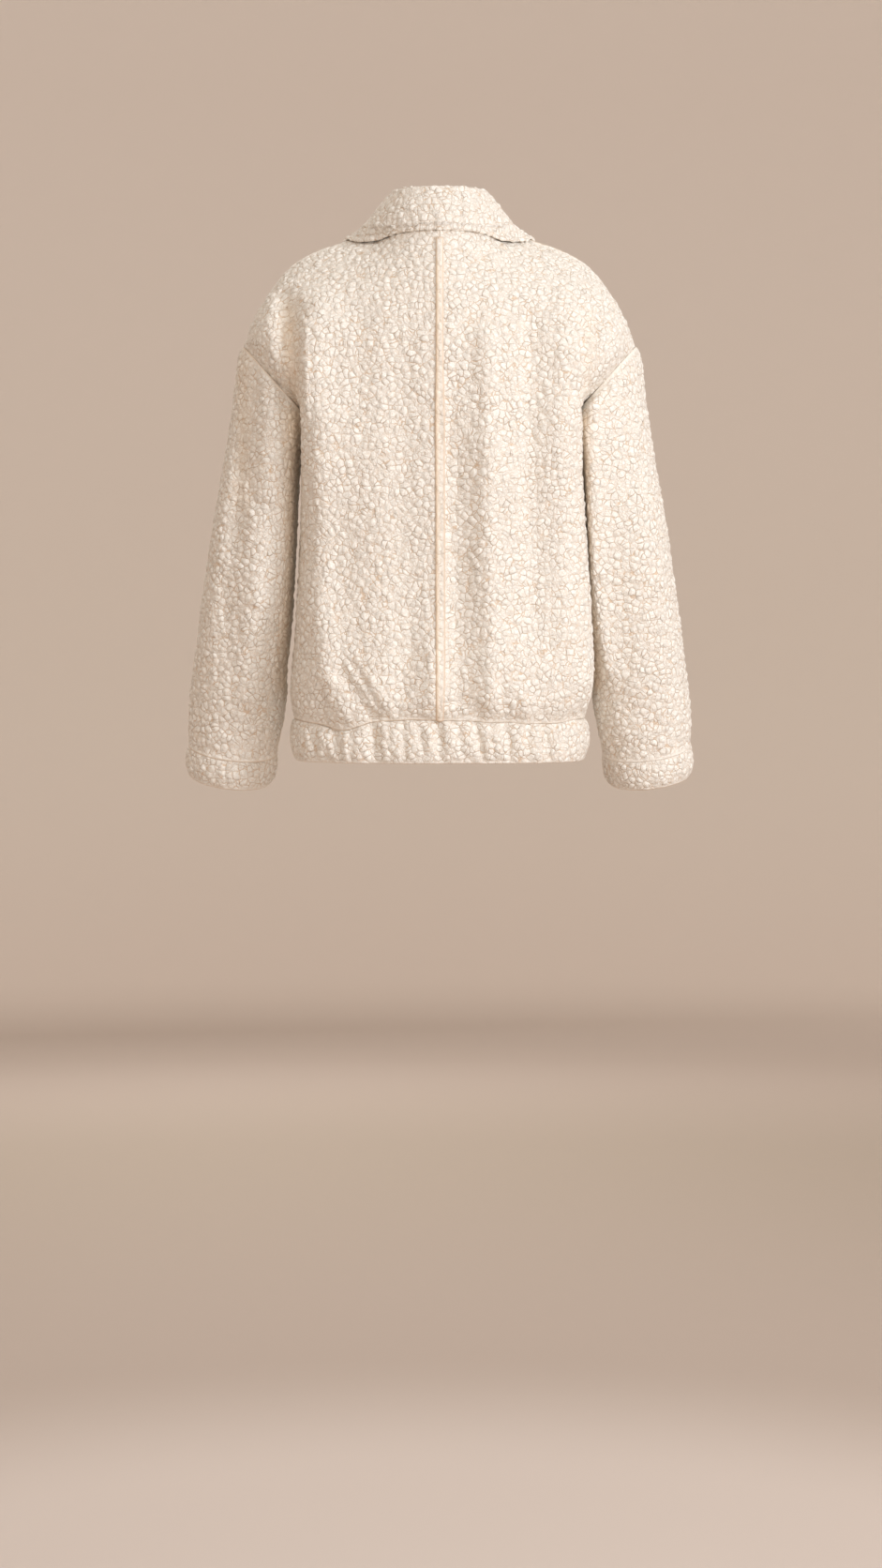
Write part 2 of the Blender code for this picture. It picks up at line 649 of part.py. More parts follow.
def wall_piece(name, colour, outer, inner, wrap=False, row_stride=1):
    """One piece of cloth: an outer and an inner skin closed round their edges."""
    inner = inner[::row_stride]

    def build(work):
        out = skin_grid(work, outer, wrap)
        ins = skin_grid(work, inner, wrap)
        for row in (0, -1):
            a = list(out[row])
            b = list(ins[row])
            if wrap:
                a.append(a[0])
                b.append(b[0])
            close_edge(work, a, b)
        if not wrap:
            for col in (0, -1):
                close_edge(work, [row[col] for row in out], [row[col] for row in ins])

    return add_piece(name, colour, build)


def close_end(work, ring, turn):
    """Closes an end of a bar: ring folds flat at turn, and its two sides are zipped together."""
    a = ring[:turn + 1]
    b = ring[:turn - 1:-1]
    lengths = []
    for run in (a, b):
        steps = [(run[k + 1].co - run[k].co).length for k in range(len(run) - 1)]
        total = sum(steps)
        lengths.append([sum(steps[:k]) / total for k in range(len(run))])
    i = 0
    j = 0
    while i < len(a) - 1 or j < len(b) - 1:
        next_a = lengths[0][i + 1] if i < len(a) - 1 else 2.0
        next_b = lengths[1][j + 1] if j < len(b) - 1 else 2.0
        if next_a <= next_b:
            corners = [a[i], a[i + 1], b[j]]
            i += 1
        else:
            corners = [a[i], b[j + 1], b[j]]
            j += 1
        if len(set(corners)) == 3:
            work.faces.new(corners)


def loft_piece(name, colour, sections, turn=None):
    """A closed bar of cloth through a run of closed sections."""
    def build(work):
        rings = [[work.verts.new(point) for point in ring] for ring in sections]
        count = len(rings[0])
        for a, b in zip(rings, rings[1:]):
            for k in range(count):
                m = (k + 1) % count
                work.faces.new((a[k], a[m], b[m], b[k]))
        for ring in (rings[0], rings[-1]):
            if turn is None:
                work.faces.new(ring)
            else:
                close_end(work, ring, turn)

    return add_piece(name, colour, build)


def surface_tree(*grids):
    """A search tree over the outer skins of some panels."""
    points = []
    faces = []
    for grid in grids:
        first = len(points)
        height, width = grid.shape[:2]
        points.extend(Vector(point) for point in grid.reshape(-1, 3))
        for r in range(height - 1):
            for c in range(width - 1):
                a = first + r * width + c
                faces.append((a, a + 1, a + width + 1, a + width))
    return BVHTree.FromPolygons(points, faces)


def nearest(tree, point):
    """The nearest place on the panels, and the way out from the body there."""
    place, normal, _, _ = tree.find_nearest(Vector(point))
    if normal.dot(Vector((place.x, place.y, 0.3))) < 0:
        normal = -normal
    return place, normal


def lie_on(tree, point, clear):
    """The nearest place on the panels, moved out from the body by clear."""
    place, normal = nearest(tree, point)
    return np.array(place + normal * clear)


def keep_off(tree, point, clear):
    """The point itself, or its place just clear of the panels if it is nearer than that."""
    place, normal = nearest(tree, point)
    if (Vector(point) - place).dot(normal) < clear:
        return np.array(place + normal * clear)
    return np.array(point)


def with_middles(points):
    """A run of points with the middle of each step added."""
    middles = (points[1:] + points[:-1]) / 2
    run = np.empty((2 * len(points) - 1, 3))
    run[0::2] = points
    run[1::2] = middles
    return run


def leaf_edges(places, side, tree):
    """The edge of the collar leaf at some places along the collar, clear of the panels."""
    edges = []
    for a in places:
        guess = [read(LEAF_EDGE, name, a, "along") for name in ("x", "y", "z")]
        guess[0] *= side
        hug = read(LEAF_EDGE, "hug", a, "along")
        free = keep_off(tree, guess, COLLAR_CLEAR)
        edges.append(free + (lie_on(tree, guess, COLLAR_CLEAR) - free) * hug)
    edges = np.array(edges)
    for _ in range(3):
        for k in range(len(edges) - 1):
            middle = (edges[k] + edges[k + 1]) / 2
            push = keep_off(tree, middle, COLLAR_CLEAR * 0.7) - middle
            edges[k] += push
            edges[k + 1] += push
    return edges


def collar_half(neck_outer, neck_inner, side, tree):
    """Sections of half the collar, from the centre back to its front end."""
    up = np.array((0.0, 0.0, 1.0))
    flat = np.array((1.0, 1.0, 0.0))
    steps = np.linalg.norm(np.diff(neck_outer, axis=0), axis=1)
    along = np.concatenate(([0.0], np.cumsum(steps))) / steps.sum()
    run = unit(np.gradient(neck_outer, axis=0))
    edges = leaf_edges(along, side, tree)
    sections = []
    for k, a in enumerate(along):
        seam_way = unit(np.cross(run[k], neck_inner[k] - neck_outer[k]))
        seam_way = seam_way * np.sign(seam_way.dot(up * 0.5 - neck_outer[k] * flat * 10))
        base_out = neck_outer[k] + seam_way * COLLAR_SEAM
        base_in = neck_inner[k] + seam_way * COLLAR_SEAM
        edge_in = edges[k]
        out = unit(np.cross(run[k] * flat, up))
        out = out * np.sign(out.dot(neck_outer[k]))
        rise = read(STAND, "rise", a, "along")
        lean = read(STAND, "lean", a, "along")
        crest = base_out + up * rise - out * lean
        crease = crest - up * COLLAR_CREASE + out * 0.1 * COLLAR_ROLL
        fall = unit(edge_in - crest)
        level = unit(np.cross(run[k], fall))
        level = level * np.sign(level.dot(out))
        edge_out = edge_in + level * COLLAR_THICK
        tip = (edge_in + edge_out) / 2 + fall * COLLAR_THICK * 0.45
        under = crease + (edge_in - crease) * 0.72 + level * 0.3 * COLLAR_ROLL
        stand_in = base_in + (crest - out * 1.1 * COLLAR_ROLL - base_in) * 0.55

        def leaf_over(t):
            point = crest + (edge_out - crest) * t
            swell = 0.7 * COLLAR_ROLL + COLLAR_PUFF * math.sin(math.pi * t)
            return point + level * swell * (1 - t ** 3)

        sections.append(np.array([
            base_out,
            base_out + (crease - base_out) * 0.5,
            crease,
            crease + (edge_in - crease) * 0.36 + level * 0.4 * COLLAR_ROLL,
            keep_off(tree, under, COLLAR_CLEAR),
            edge_in,
            tip,
            edge_out,
            leaf_over(0.84),
            leaf_over(0.55),
            leaf_over(0.26),
            crest + out * 0.7 * COLLAR_ROLL + up * 0.16 * COLLAR_ROLL,
            crest - out * 0.1 * COLLAR_ROLL + up * 0.6 * COLLAR_ROLL,
            crest - out * COLLAR_ROLL + up * 0.12 * COLLAR_ROLL,
            crest - out * 1.2 * COLLAR_ROLL - up * COLLAR_ROLL,
            stand_in,
            base_in,
        ]))
    return sections


def neck_edge(panels, side, layer):
    """The neck edge of one side's panels, from the centre back to the centre front."""
    name = "left" if side > 0 else "right"
    back = panels["back_" + name]
    front = panels["front_" + name]
    back_run = back[layer][-1][:BACK_NECK_CELLS + 1]
    front_run = front[layer][-1][:FRONT_NECK_CELLS + 1][::-1]
    start = back_run[0] * np.array((0.0, 1.0, 1.0))
    shoulder = (back_run[-1] + front_run[0]) / 2
    place = side * front_run[:, 0]
    middle = [np.interp(-COLLAR_PARTING, -place, front_run[:, k]) for k in range(3)]
    front_run = front_run[1:][place[1:] > 4 * COLLAR_PARTING]
    return with_middles(np.concatenate([[start], back_run[1:-1], [shoulder], front_run, [middle]]))


def build_collar(panels, tree):
    """The collar: a stand on the neck seam and a leaf that turns over it."""
    halves = {}
    for side in (1, -1):
        halves[side] = collar_half(neck_edge(panels, side, 0), neck_edge(panels, side, 1), side, tree)
    return loft_piece("collar", CREAM, halves[-1][::-1] + halves[1][1:], turn=6)


def build_strip(panels):
    """The raised strip that covers the centre-back seam."""
    left = panels["back_left"][0]
    right = panels["back_right"][0]
    sections = []
    for k in range(len(left) - 1):
        share = (STRIP_WIDTH / 2) / abs(left[k][1][0])
        a = left[k][0] + (left[k][1] - left[k][0]) * share
        b = right[k][0] + (right[k][1] - right[k][0]) * share
        up = left[min(k + 1, len(left) - 1)][0] - left[max(k - 1, 0)][0]
        out = unit(np.cross(np.array((1.0, 0.0, 0.0)), up) * -1.0)
        middle = (left[k][0] + right[k][0]) / 2
        low = 2 * SEAM
        sections.append(np.array([
            a + out * low,
            a * 0.9 + b * 0.1 + out * STRIP_HEIGHT * STRIP_SLOPE,
            middle + out * (STRIP_HEIGHT + low),
            a * 0.1 + b * 0.9 + out * STRIP_HEIGHT * STRIP_SLOPE,
            b + out * low,
            middle + out * low,
        ]))
    sections[0][:, 2] += BAND_GAP
    return loft_piece("back_seam_strip", CREAM, sections)


def band_sections(edge_outer, edge_inner, gathers, thin_side=0):
    """Sections of the hem band under a run of a panel's lower edge."""
    run = np.gradient(edge_outer, axis=0)
    out = unit(np.cross(run, np.array((0.0, 0.0, 1.0))))
    if np.sum(out * edge_outer) < 0:
        out = -out
    sections = []
    for k in range(len(edge_outer)):
        start = edge_outer[k] - np.array((0.0, 0.0, BAND_GAP))
        start_in = edge_inner[k] - np.array((0.0, 0.0, BAND_GAP))
        level = BAND_SEAM_Z - start[2]
        lapped = 0.0
        if not gathers:
            lapped = 1 - ease(FRONT_LAP + LAP_EASE / 5, FRONT_LAP + LAP_EASE, abs(start[0]))
        full = 1 - lapped * (thin_side > 0)
        points = []
        for j, (stand, down) in enumerate(zip(BAND_SECTION["out"], BAND_SECTION["down"])):
            share = down / BAND_SECTION["down"][-1]
            pinch = 0.0
            if gathers and j > 0:
                place = start[0]
                line = GATHERS["top"] + (GATHERS["bottom"] - GATHERS["top"]) * share
                bell = np.exp(-(place - line) ** 2 / (2 * GATHERS["width"] ** 2))
                pinch = np.max(GATHERS["depth"] * bell) * math.sin(math.pi * min(0.15 + share, 1.0))
            point = start + out[k] * (stand * full - pinch)
            point[2] -= down - level * share
            points.append(point)
        foot = start + out[k] * (BAND_INSIDE + (-WALL - BAND_INSIDE) * lapped)
        points.append(foot - np.array((0.0, 0.0, BAND_INSIDE_LOW - level)))
        points.append(foot - np.array((0.0, 0.0, BAND_INSIDE_MIDDLE - level * 0.5)))
        points.append(start_in)
        sections.append(np.array(points))
    return sections


def build_band(panels):
    """The hem band: gathered across the back, plain at the fronts. Returns its upper front."""
    edges = {}
    for name, panel in panels.items():
        edges[name] = [with_middles(panel[layer][0]) for layer in (0, 1)]
    back = [np.concatenate([edges["back_right"][k][:0:-1], edges["back_left"][k]]) for k in (0, 1)]
    middle = len(edges["back_right"][0]) - 1
    for k in (0, 1):
        back[k][middle][0] = 0.0
    loft_piece("hem_band_back", CREAM, band_sections(back[0], back[1], True))
    for name in ("left", "right"):
        plain = [panels["front_" + name][layer][0] for layer in (0, 1)]
        sections = band_sections(plain[0], plain[1], False, 1 if name == "left" else -1)
        loft_piece("hem_band_front_" + name, CREAM, sections)
    return np.array(sections)[:, :len(BAND_SECTION["down"])]


def build_cuff(side_name, sleeve):
    """The cuff: a puffed ring below the end of the sleeve."""
    outer, inner = sleeve
    end_out = outer[-1]
    end_in = inner[-1]
    middle = end_out.mean(axis=0)
    axis = unit(np.cross(end_out[7] - middle, end_out[0] - middle))
    if axis[2] > 0:
        axis = -axis
    way = unit(end_out - middle)
    rings = []
    for edge, section in ((end_out, CUFF_SECTION), (end_in, CUFF_INSIDE)):
        run = []
        for stand, share in zip(section["out"], section["down"]):
            taper = 1 - CUFF_TAPER * share
            drop = axis * (CUFF_DEPTH * share + SEAM)
            run.append(middle + (edge - middle) * taper + way * stand + drop)
        rings = run + rings[::-1] if rings else run
    rings = rings[::-1]

    def build(work):
        loops = [[work.verts.new(point) for point in ring] for ring in rings]
        count = len(loops[0])
        for a, b in zip(loops, loops[1:] + loops[:1]):
            for k in range(count):
                m = (k + 1) % count
                work.faces.new((a[k], a[m], b[m], b[k]))

    return add_piece("cuff_" + side_name, CREAM, build)


def build_button(index, place, normal):
    """A round four-hole button lying on the cloth."""
    def build(work):
        bmesh.ops.create_cone(work, cap_ends=True, segments=20, radius1=BUTTON_RADIUS,
                              radius2=BUTTON_RADIUS, depth=BUTTON_THICK)
        rims = [e for e in work.edges if e.verts[0].co.z * e.verts[1].co.z > 0]
        bmesh.ops.bevel(work, geom=rims, offset=BUTTON_ROUNDING, segments=1, affect="EDGES")

    piece = add_piece("button_%d" % index, HORN, build)
    cutters = []
    for k in range(4):
        angle = math.pi / 4 + k * math.pi / 2
        mesh = bpy.data.meshes.new("hole_mesh")
        work = bmesh.new()
        bmesh.ops.create_cone(work, cap_ends=True, segments=6, radius1=BUTTON_HOLE_RADIUS,
                              radius2=BUTTON_HOLE_RADIUS, depth=4 * BUTTON_THICK)
        spot = Vector((math.cos(angle), math.sin(angle), 0.0)) * BUTTON_HOLE_REACH
        bmesh.ops.translate(work, verts=work.verts[:], vec=spot)
        work.to_mesh(mesh)
        work.free()
        cutter = bpy.data.objects.new("button_%d_hole_%d" % (index, k + 1), mesh)
        cutter.hide_render = True
        cutter.display_type = "WIRE"
        bpy.data.collections["cutters"].objects.link(cutter)
        cutters.append(cutter)
    turn = Vector((0.0, 0.0, 1.0)).rotation_difference(Vector(normal))
    for item in [piece] + cutters:
        item.rotation_mode = "QUATERNION"
        item.rotation_quaternion = turn
        item.location = Vector(place)
    for cutter in cutters:
        cut = piece.modifiers.new("hole", "BOOLEAN")
        cut.operation = "DIFFERENCE"
        cut.object = cutter
    return piece


def build_buttons(panels_tree, band_tree):
    """Five buttons down the centre front, the lowest on the hem band."""
    ahead = Vector((0.0, 1.0, 0.0))
    for index, z in enumerate(BUTTON_HEIGHTS, start=1):
        tree = panels_tree if z > BAND_SEAM_Z else band_tree
        place, normal, _, _ = tree.ray_cast(Vector((0.0, -1.0, z)), ahead)
        if normal.y > 0:
            normal = -normal
        seat = place + normal * (BUTTON_THICK / 2 + 2 * SEAM)
        build_button(index, seat, normal)


def main():
    for item in list(bpy.data.objects):
        bpy.data.objects.remove(item)
    for name in (COLLECTION, "cutters"):
        bpy.context.scene.collection.children.link(bpy.data.collections.new(name))
    panels = {}
    for side_name, side in (("left", 1), ("right", -1)):
        panels["back_" + side_name] = torso_panel(1, side, BACK_FOLDS)
        lift = LAP_STEP if side < 0 else 0.0
        panels["front_" + side_name] = torso_panel(-1, side, FRONT_FOLDS, lift)
    for name, (outer, inner) in panels.items():
        wall_piece(name, CREAM, outer, inner)
    for side_name, side, folds in (("left", 1, SLEEVE_LEFT_FOLDS), ("right", -1, SLEEVE_RIGHT_FOLDS)):
        sleeve = sleeve_grid(side, folds)
        wall_piece("sleeve_" + side_name, CREAM, sleeve[0], sleeve[1], wrap=True, row_stride=2)
        build_cuff(side_name, sleeve)
    tree = surface_tree(*(panel[0] for panel in panels.values()))
    build_strip(panels)
    build_collar(panels, tree)
    build_buttons(tree, surface_tree(build_band(panels)))


main()
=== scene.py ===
# A short shirt jacket in cream boucle fleece, in its worn form and seen from behind.
# Metres, +Z up. The wearer faces -Y and the wearer's left is +X.
import math

import bmesh
import bpy
import numpy as np
from mathutils import Matrix, Vector
from mathutils.bvhtree import BVHTree
from mathutils.kdtree import KDTree


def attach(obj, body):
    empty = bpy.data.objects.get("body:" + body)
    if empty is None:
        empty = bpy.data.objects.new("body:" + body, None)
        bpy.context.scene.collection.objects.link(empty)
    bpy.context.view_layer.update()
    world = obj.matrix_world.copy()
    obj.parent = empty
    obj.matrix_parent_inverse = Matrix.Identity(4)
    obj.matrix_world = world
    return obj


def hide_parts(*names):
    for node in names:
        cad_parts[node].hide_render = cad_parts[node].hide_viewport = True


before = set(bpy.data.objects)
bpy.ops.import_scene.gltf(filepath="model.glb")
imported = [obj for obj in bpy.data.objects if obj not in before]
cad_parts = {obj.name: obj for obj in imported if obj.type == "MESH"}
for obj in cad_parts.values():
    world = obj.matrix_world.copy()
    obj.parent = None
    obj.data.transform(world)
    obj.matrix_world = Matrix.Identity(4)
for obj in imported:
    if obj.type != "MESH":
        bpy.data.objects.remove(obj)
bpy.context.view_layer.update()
bpy.ops.object.select_all(action="DESELECT")
scene = bpy.context.scene
mm = 0.001


def toLinear(hexColour):
    parts = [int(hexColour[k:k + 2], 16) / 255 for k in (1, 3, 5)]
    return tuple(c / 12.92 if c <= 0.04045 else ((c + 0.055) / 1.055) ** 2.4 for c in parts) + (1.0,)


def addNode(tree, kind, settings=None, inputs=None, links=None):
    node = tree.nodes.new(kind)
    for name, value in (settings or {}).items():
        setattr(node, name, value)
    for name, value in (inputs or {}).items():
        node.inputs[name].default_value = value
    for name, source in (links or {}).items():
        tree.links.new(source, node.inputs[name])
    return node


def selectOnly(piece):
    bpy.ops.object.select_all(action="DESELECT")
    piece.select_set(True)
    bpy.context.view_layer.objects.active = piece


def ease(low, high, value):
    t = np.clip((value - low) / (high - low), 0.0, 1.0)
    return t * t * (3 - 2 * t)


def getPoints(mesh):
    flat = np.empty(len(mesh.vertices) * 3, dtype=np.float32)
    mesh.vertices.foreach_get("co", flat)
    return flat.reshape(-1, 3).astype(float)


def setPoints(mesh, points):
    mesh.vertices.foreach_set("co", points.astype(np.float32).ravel())
    mesh.update()


view = {
    "place": (-0.0017, 3.97, -0.464),
    "tilt": 3.17,              # degrees down
    "lens": 72.84,
    "sensor": 36.0,            # along the picture's height
}


def buildCamera():
    data = bpy.data.cameras.new("studioCamera")
    data.sensor_fit = "VERTICAL"
    data.sensor_height = view["sensor"]
    data.lens = view["lens"]
    camera = bpy.data.objects.new("studioCamera", data)
    camera.location = view["place"]
    camera.rotation_euler = (math.radians(90 - view["tilt"]), 0.0, math.radians(180))
    scene.collection.objects.link(camera)
    scene.camera = camera


studio = {
    "floor": -1.56,
    "radius": 8.0,             # the paper turns up into a wall all round
    "turn": 3.0,
    "bend": 12,                # facets of the turn
    "round": 96,               # facets round the disc
    "top": 6.0,
    # painted light and shade on the paper: its tone, darker over the floor and lighter up the wall, by metres along
    # it from a point on the floor
    "centre": (0.0, -0.8),
    "paper": ((0.0, "#C8BAAF"), (0.8, "#C6B7AC"), (1.45, "#AE9D90"), (3.2, "#A79788"), (4.4, "#B5A497"),
              (6.2, "#DACBBF"), (8.6, "#DDD0C4"), (12.0, "#E3D7CD")),
    "reach": 12.0,
    "rough": 0.95,
    "specular": 0.1,
    "aim": (0.0, 0.0, -0.35),  # where the lamps point
    "sky": "#FBF5EE",
    "skyStrength": 0.90,
}
lamps = {
    "key": {"place": (-3.0, 2.8, 0.9), "size": 1.5, "power": 110, "colour": "#EDF4FC"},
    "fill": {"place": (-0.7, 4.2, -0.2), "size": 2.4, "power": 41, "colour": "#F0F5F9"},
    "front": {"place": (0.6, -3.4, 0.8), "size": 2.0, "power": 70, "colour": "#F0F5F9"},
}


def buildStudio():
    # seamless paper: a disc that sweeps up into a wall
    flat = studio["radius"] - studio["turn"]
    profile = [(0.0, 0.0), (flat, 0.0)]
    for k in range(1, studio["bend"] + 1):
        angle = math.pi / 2 * k / studio["bend"]
        profile.append((flat + studio["turn"] * math.sin(angle), studio["turn"] * (1 - math.cos(angle))))
    profile.append((studio["radius"], studio["top"]))
    work = bmesh.new()
    line = [work.verts.new((r, 0.0, z)) for r, z in profile]
    edges = [work.edges.new(pair) for pair in zip(line, line[1:])]
    bmesh.ops.spin(work, geom=line + edges, axis=(0, 0, 1), cent=(0, 0, 0), steps=studio["round"],
                   angle=2 * math.pi, use_merge=True)
    bmesh.ops.remove_doubles(work, verts=work.verts[:], dist=0.0005)
    bmesh.ops.recalc_face_normals(work, faces=work.faces[:])
    bmesh.ops.translate(work, verts=work.verts[:], vec=(0, 0, studio["floor"]))
    mesh = bpy.data.meshes.new("paperSweep")
    work.to_mesh(mesh)
    work.free()
    for polygon in mesh.polygons:
        polygon.use_smooth = True
    paper = bpy.data.objects.new("paperSweep", mesh)
    scene.collection.objects.link(paper)
    finish = bpy.data.materials.new("backgroundPaper")
    finish.use_nodes = True
    tree = finish.node_tree
    shader = tree.nodes["Principled BSDF"]
    place = addNode(tree, "ShaderNodeTexCoord").outputs["Object"]
    split = addNode(tree, "ShaderNodeSeparateXYZ", links={0: place})
    level = addNode(tree, "ShaderNodeVectorMath", {"operation": "MULTIPLY_ADD"}, links={0: place})
    level.inputs[1].default_value = (1, 1, 0)
    level.inputs[2].default_value = studio["centre"] + (0,)
    radius = addNode(tree, "ShaderNodeVectorMath", {"operation": "LENGTH"}, links={0: level.outputs[0]})
    rise = addNode(tree, "ShaderNodeMath", {"operation": "SUBTRACT"}, {1: studio["floor"]},
                   {0: split.outputs["Z"]})
    along = addNode(tree, "ShaderNodeMath", {"operation": "ADD"},
                    links={0: radius.outputs["Value"], 1: rise.outputs[0]})
    share = addNode(tree, "ShaderNodeMath", {"operation": "DIVIDE"}, {1: studio["reach"]}, {0: along.outputs[0]})
    # painted light and shade on the paper, by place
    tone = addNode(tree, "ShaderNodeValToRGB", links={"Fac": share.outputs[0]})
    tone.color_ramp.interpolation = "EASE"
    for k, (metres, colour) in enumerate(studio["paper"]):
        stops = tone.color_ramp.elements
        stop = stops[k] if k < 2 else stops.new(1.0)
        stop.position = metres / studio["reach"]
        stop.color = toLinear(colour)
    tree.links.new(tone.outputs["Color"], shader.inputs["Base Color"])
    shader.inputs["Roughness"].default_value = studio["rough"]
    shader.inputs["Specular IOR Level"].default_value = studio["specular"]
    mesh.materials.append(finish)
    world = bpy.data.worlds.new("studioAir")
    world.use_nodes = True
    air = world.node_tree.nodes["Background"]
    air.inputs["Color"].default_value = toLinear(studio["sky"])
    air.inputs["Strength"].default_value = studio["skyStrength"]
    scene.world = world
    for name, lamp in lamps.items():
        data = bpy.data.lights.new(name + "Lamp", "AREA")
        data.shape = "DISK"
        data.size = lamp["size"]
        data.energy = lamp["power"]
        data.color = toLinear(lamp["colour"])[:3]
        light = bpy.data.objects.new(name + "Lamp", data)
        light.location = lamp["place"]
        aim = Vector(studio["aim"]) - Vector(lamp["place"])
        light.rotation_euler = aim.to_track_quat("-Z", "Y").to_euler()
        scene.collection.objects.link(light)
    scene.view_settings.view_transform = "Standard"


# Boucle fleece: looped, curled yarn on a knit. Curls about 8 mm across lie close together, each a raised
# rim round a lower middle, parted by narrow grooves, with curls half that size between and on them, and
# loops of yarn that wind over them. The shade in these grooves and loops is painted into the colour as tan
# lines. The yarn's fuzz gives a dry, faintly silky sheen.
boucle = {
    "top": "#F8F3EA",
    # painted shade: the tan that grooves, loops and seams are tinted towards
    "paintedShade": "#D3B08B",
    "paintedGlow": "#FFE0B8",         # painted light: in deep folds the light comes from yarn to yarn and grows warmer, and this is painted into the colour
    "curl": 8.2 * mm,
    "small": 4.4 * mm,
    "wander": (14 * mm, 6 * mm),   # size of the bends in the net of curls, and how far they go
    "kink": (4.5 * mm, 2.8 * mm),  # the same for the small bends
    "loop": 9 * mm,            # size of the loops of yarn that wind over the curls
    "loopTurns": 8.0,          # how many lie inside each other
    "loopDip": 0.35,           # their relief, and the painted shade in them, beside those of the curls
    "loopPaintedShade": 0.45,
    "patch": 11 * mm,          # size of the places where the lines fade
    "fuzz": 1.3 * mm,          # the yarn's fuzz is finer, drawn as coarse as it needs to show
    "relief": 0.9 * mm,
    "fuzzRelief": 0.20 * mm,
    "lines": 0.75,             # how far the painted shade in the lines goes towards its full tan
    "rough": 0.92,
    "specular": 0.2,
    "sheen": 0.2,
    "sheenRough": 0.5,
    "sheenTint": "#FFF6EA",
}
# Plain knitted back of the fleece, matt, its stitches 1.6 mm apart
backing = {"face": "#E6D8C6", "line": "#CBB69F", "stitch": 1.6 * mm, "relief": 0.3 * mm, "rough": 0.9,
           "sheen": 0.15}
# Horn-effect polyester: brown with darker clouds under a satin polish
horn = {"light": "#8A6545", "dark": "#4B3323", "cloud": 7 * mm, "rough": 0.32}
# Polyester sewing thread, 0.6 mm thick, with a slight twist
thread = {"colour": "#E8DAC6", "ply": 0.5 * mm, "relief": 0.1 * mm, "rough": 0.6}


def wire(tree, made, rows):
    # a row gives a node's name, kind, settings, inputs and links; "cell 1" is the second output of cell
    for name, kind, settings, inputs, links in rows:
        sources = {}
        for slot, source in links.items():
            label, _, output = source.partition(" ")
            sources[slot] = made[label].outputs[int(output or 0)]
        made[name] = addNode(tree, kind, settings, inputs, sources)
    return made


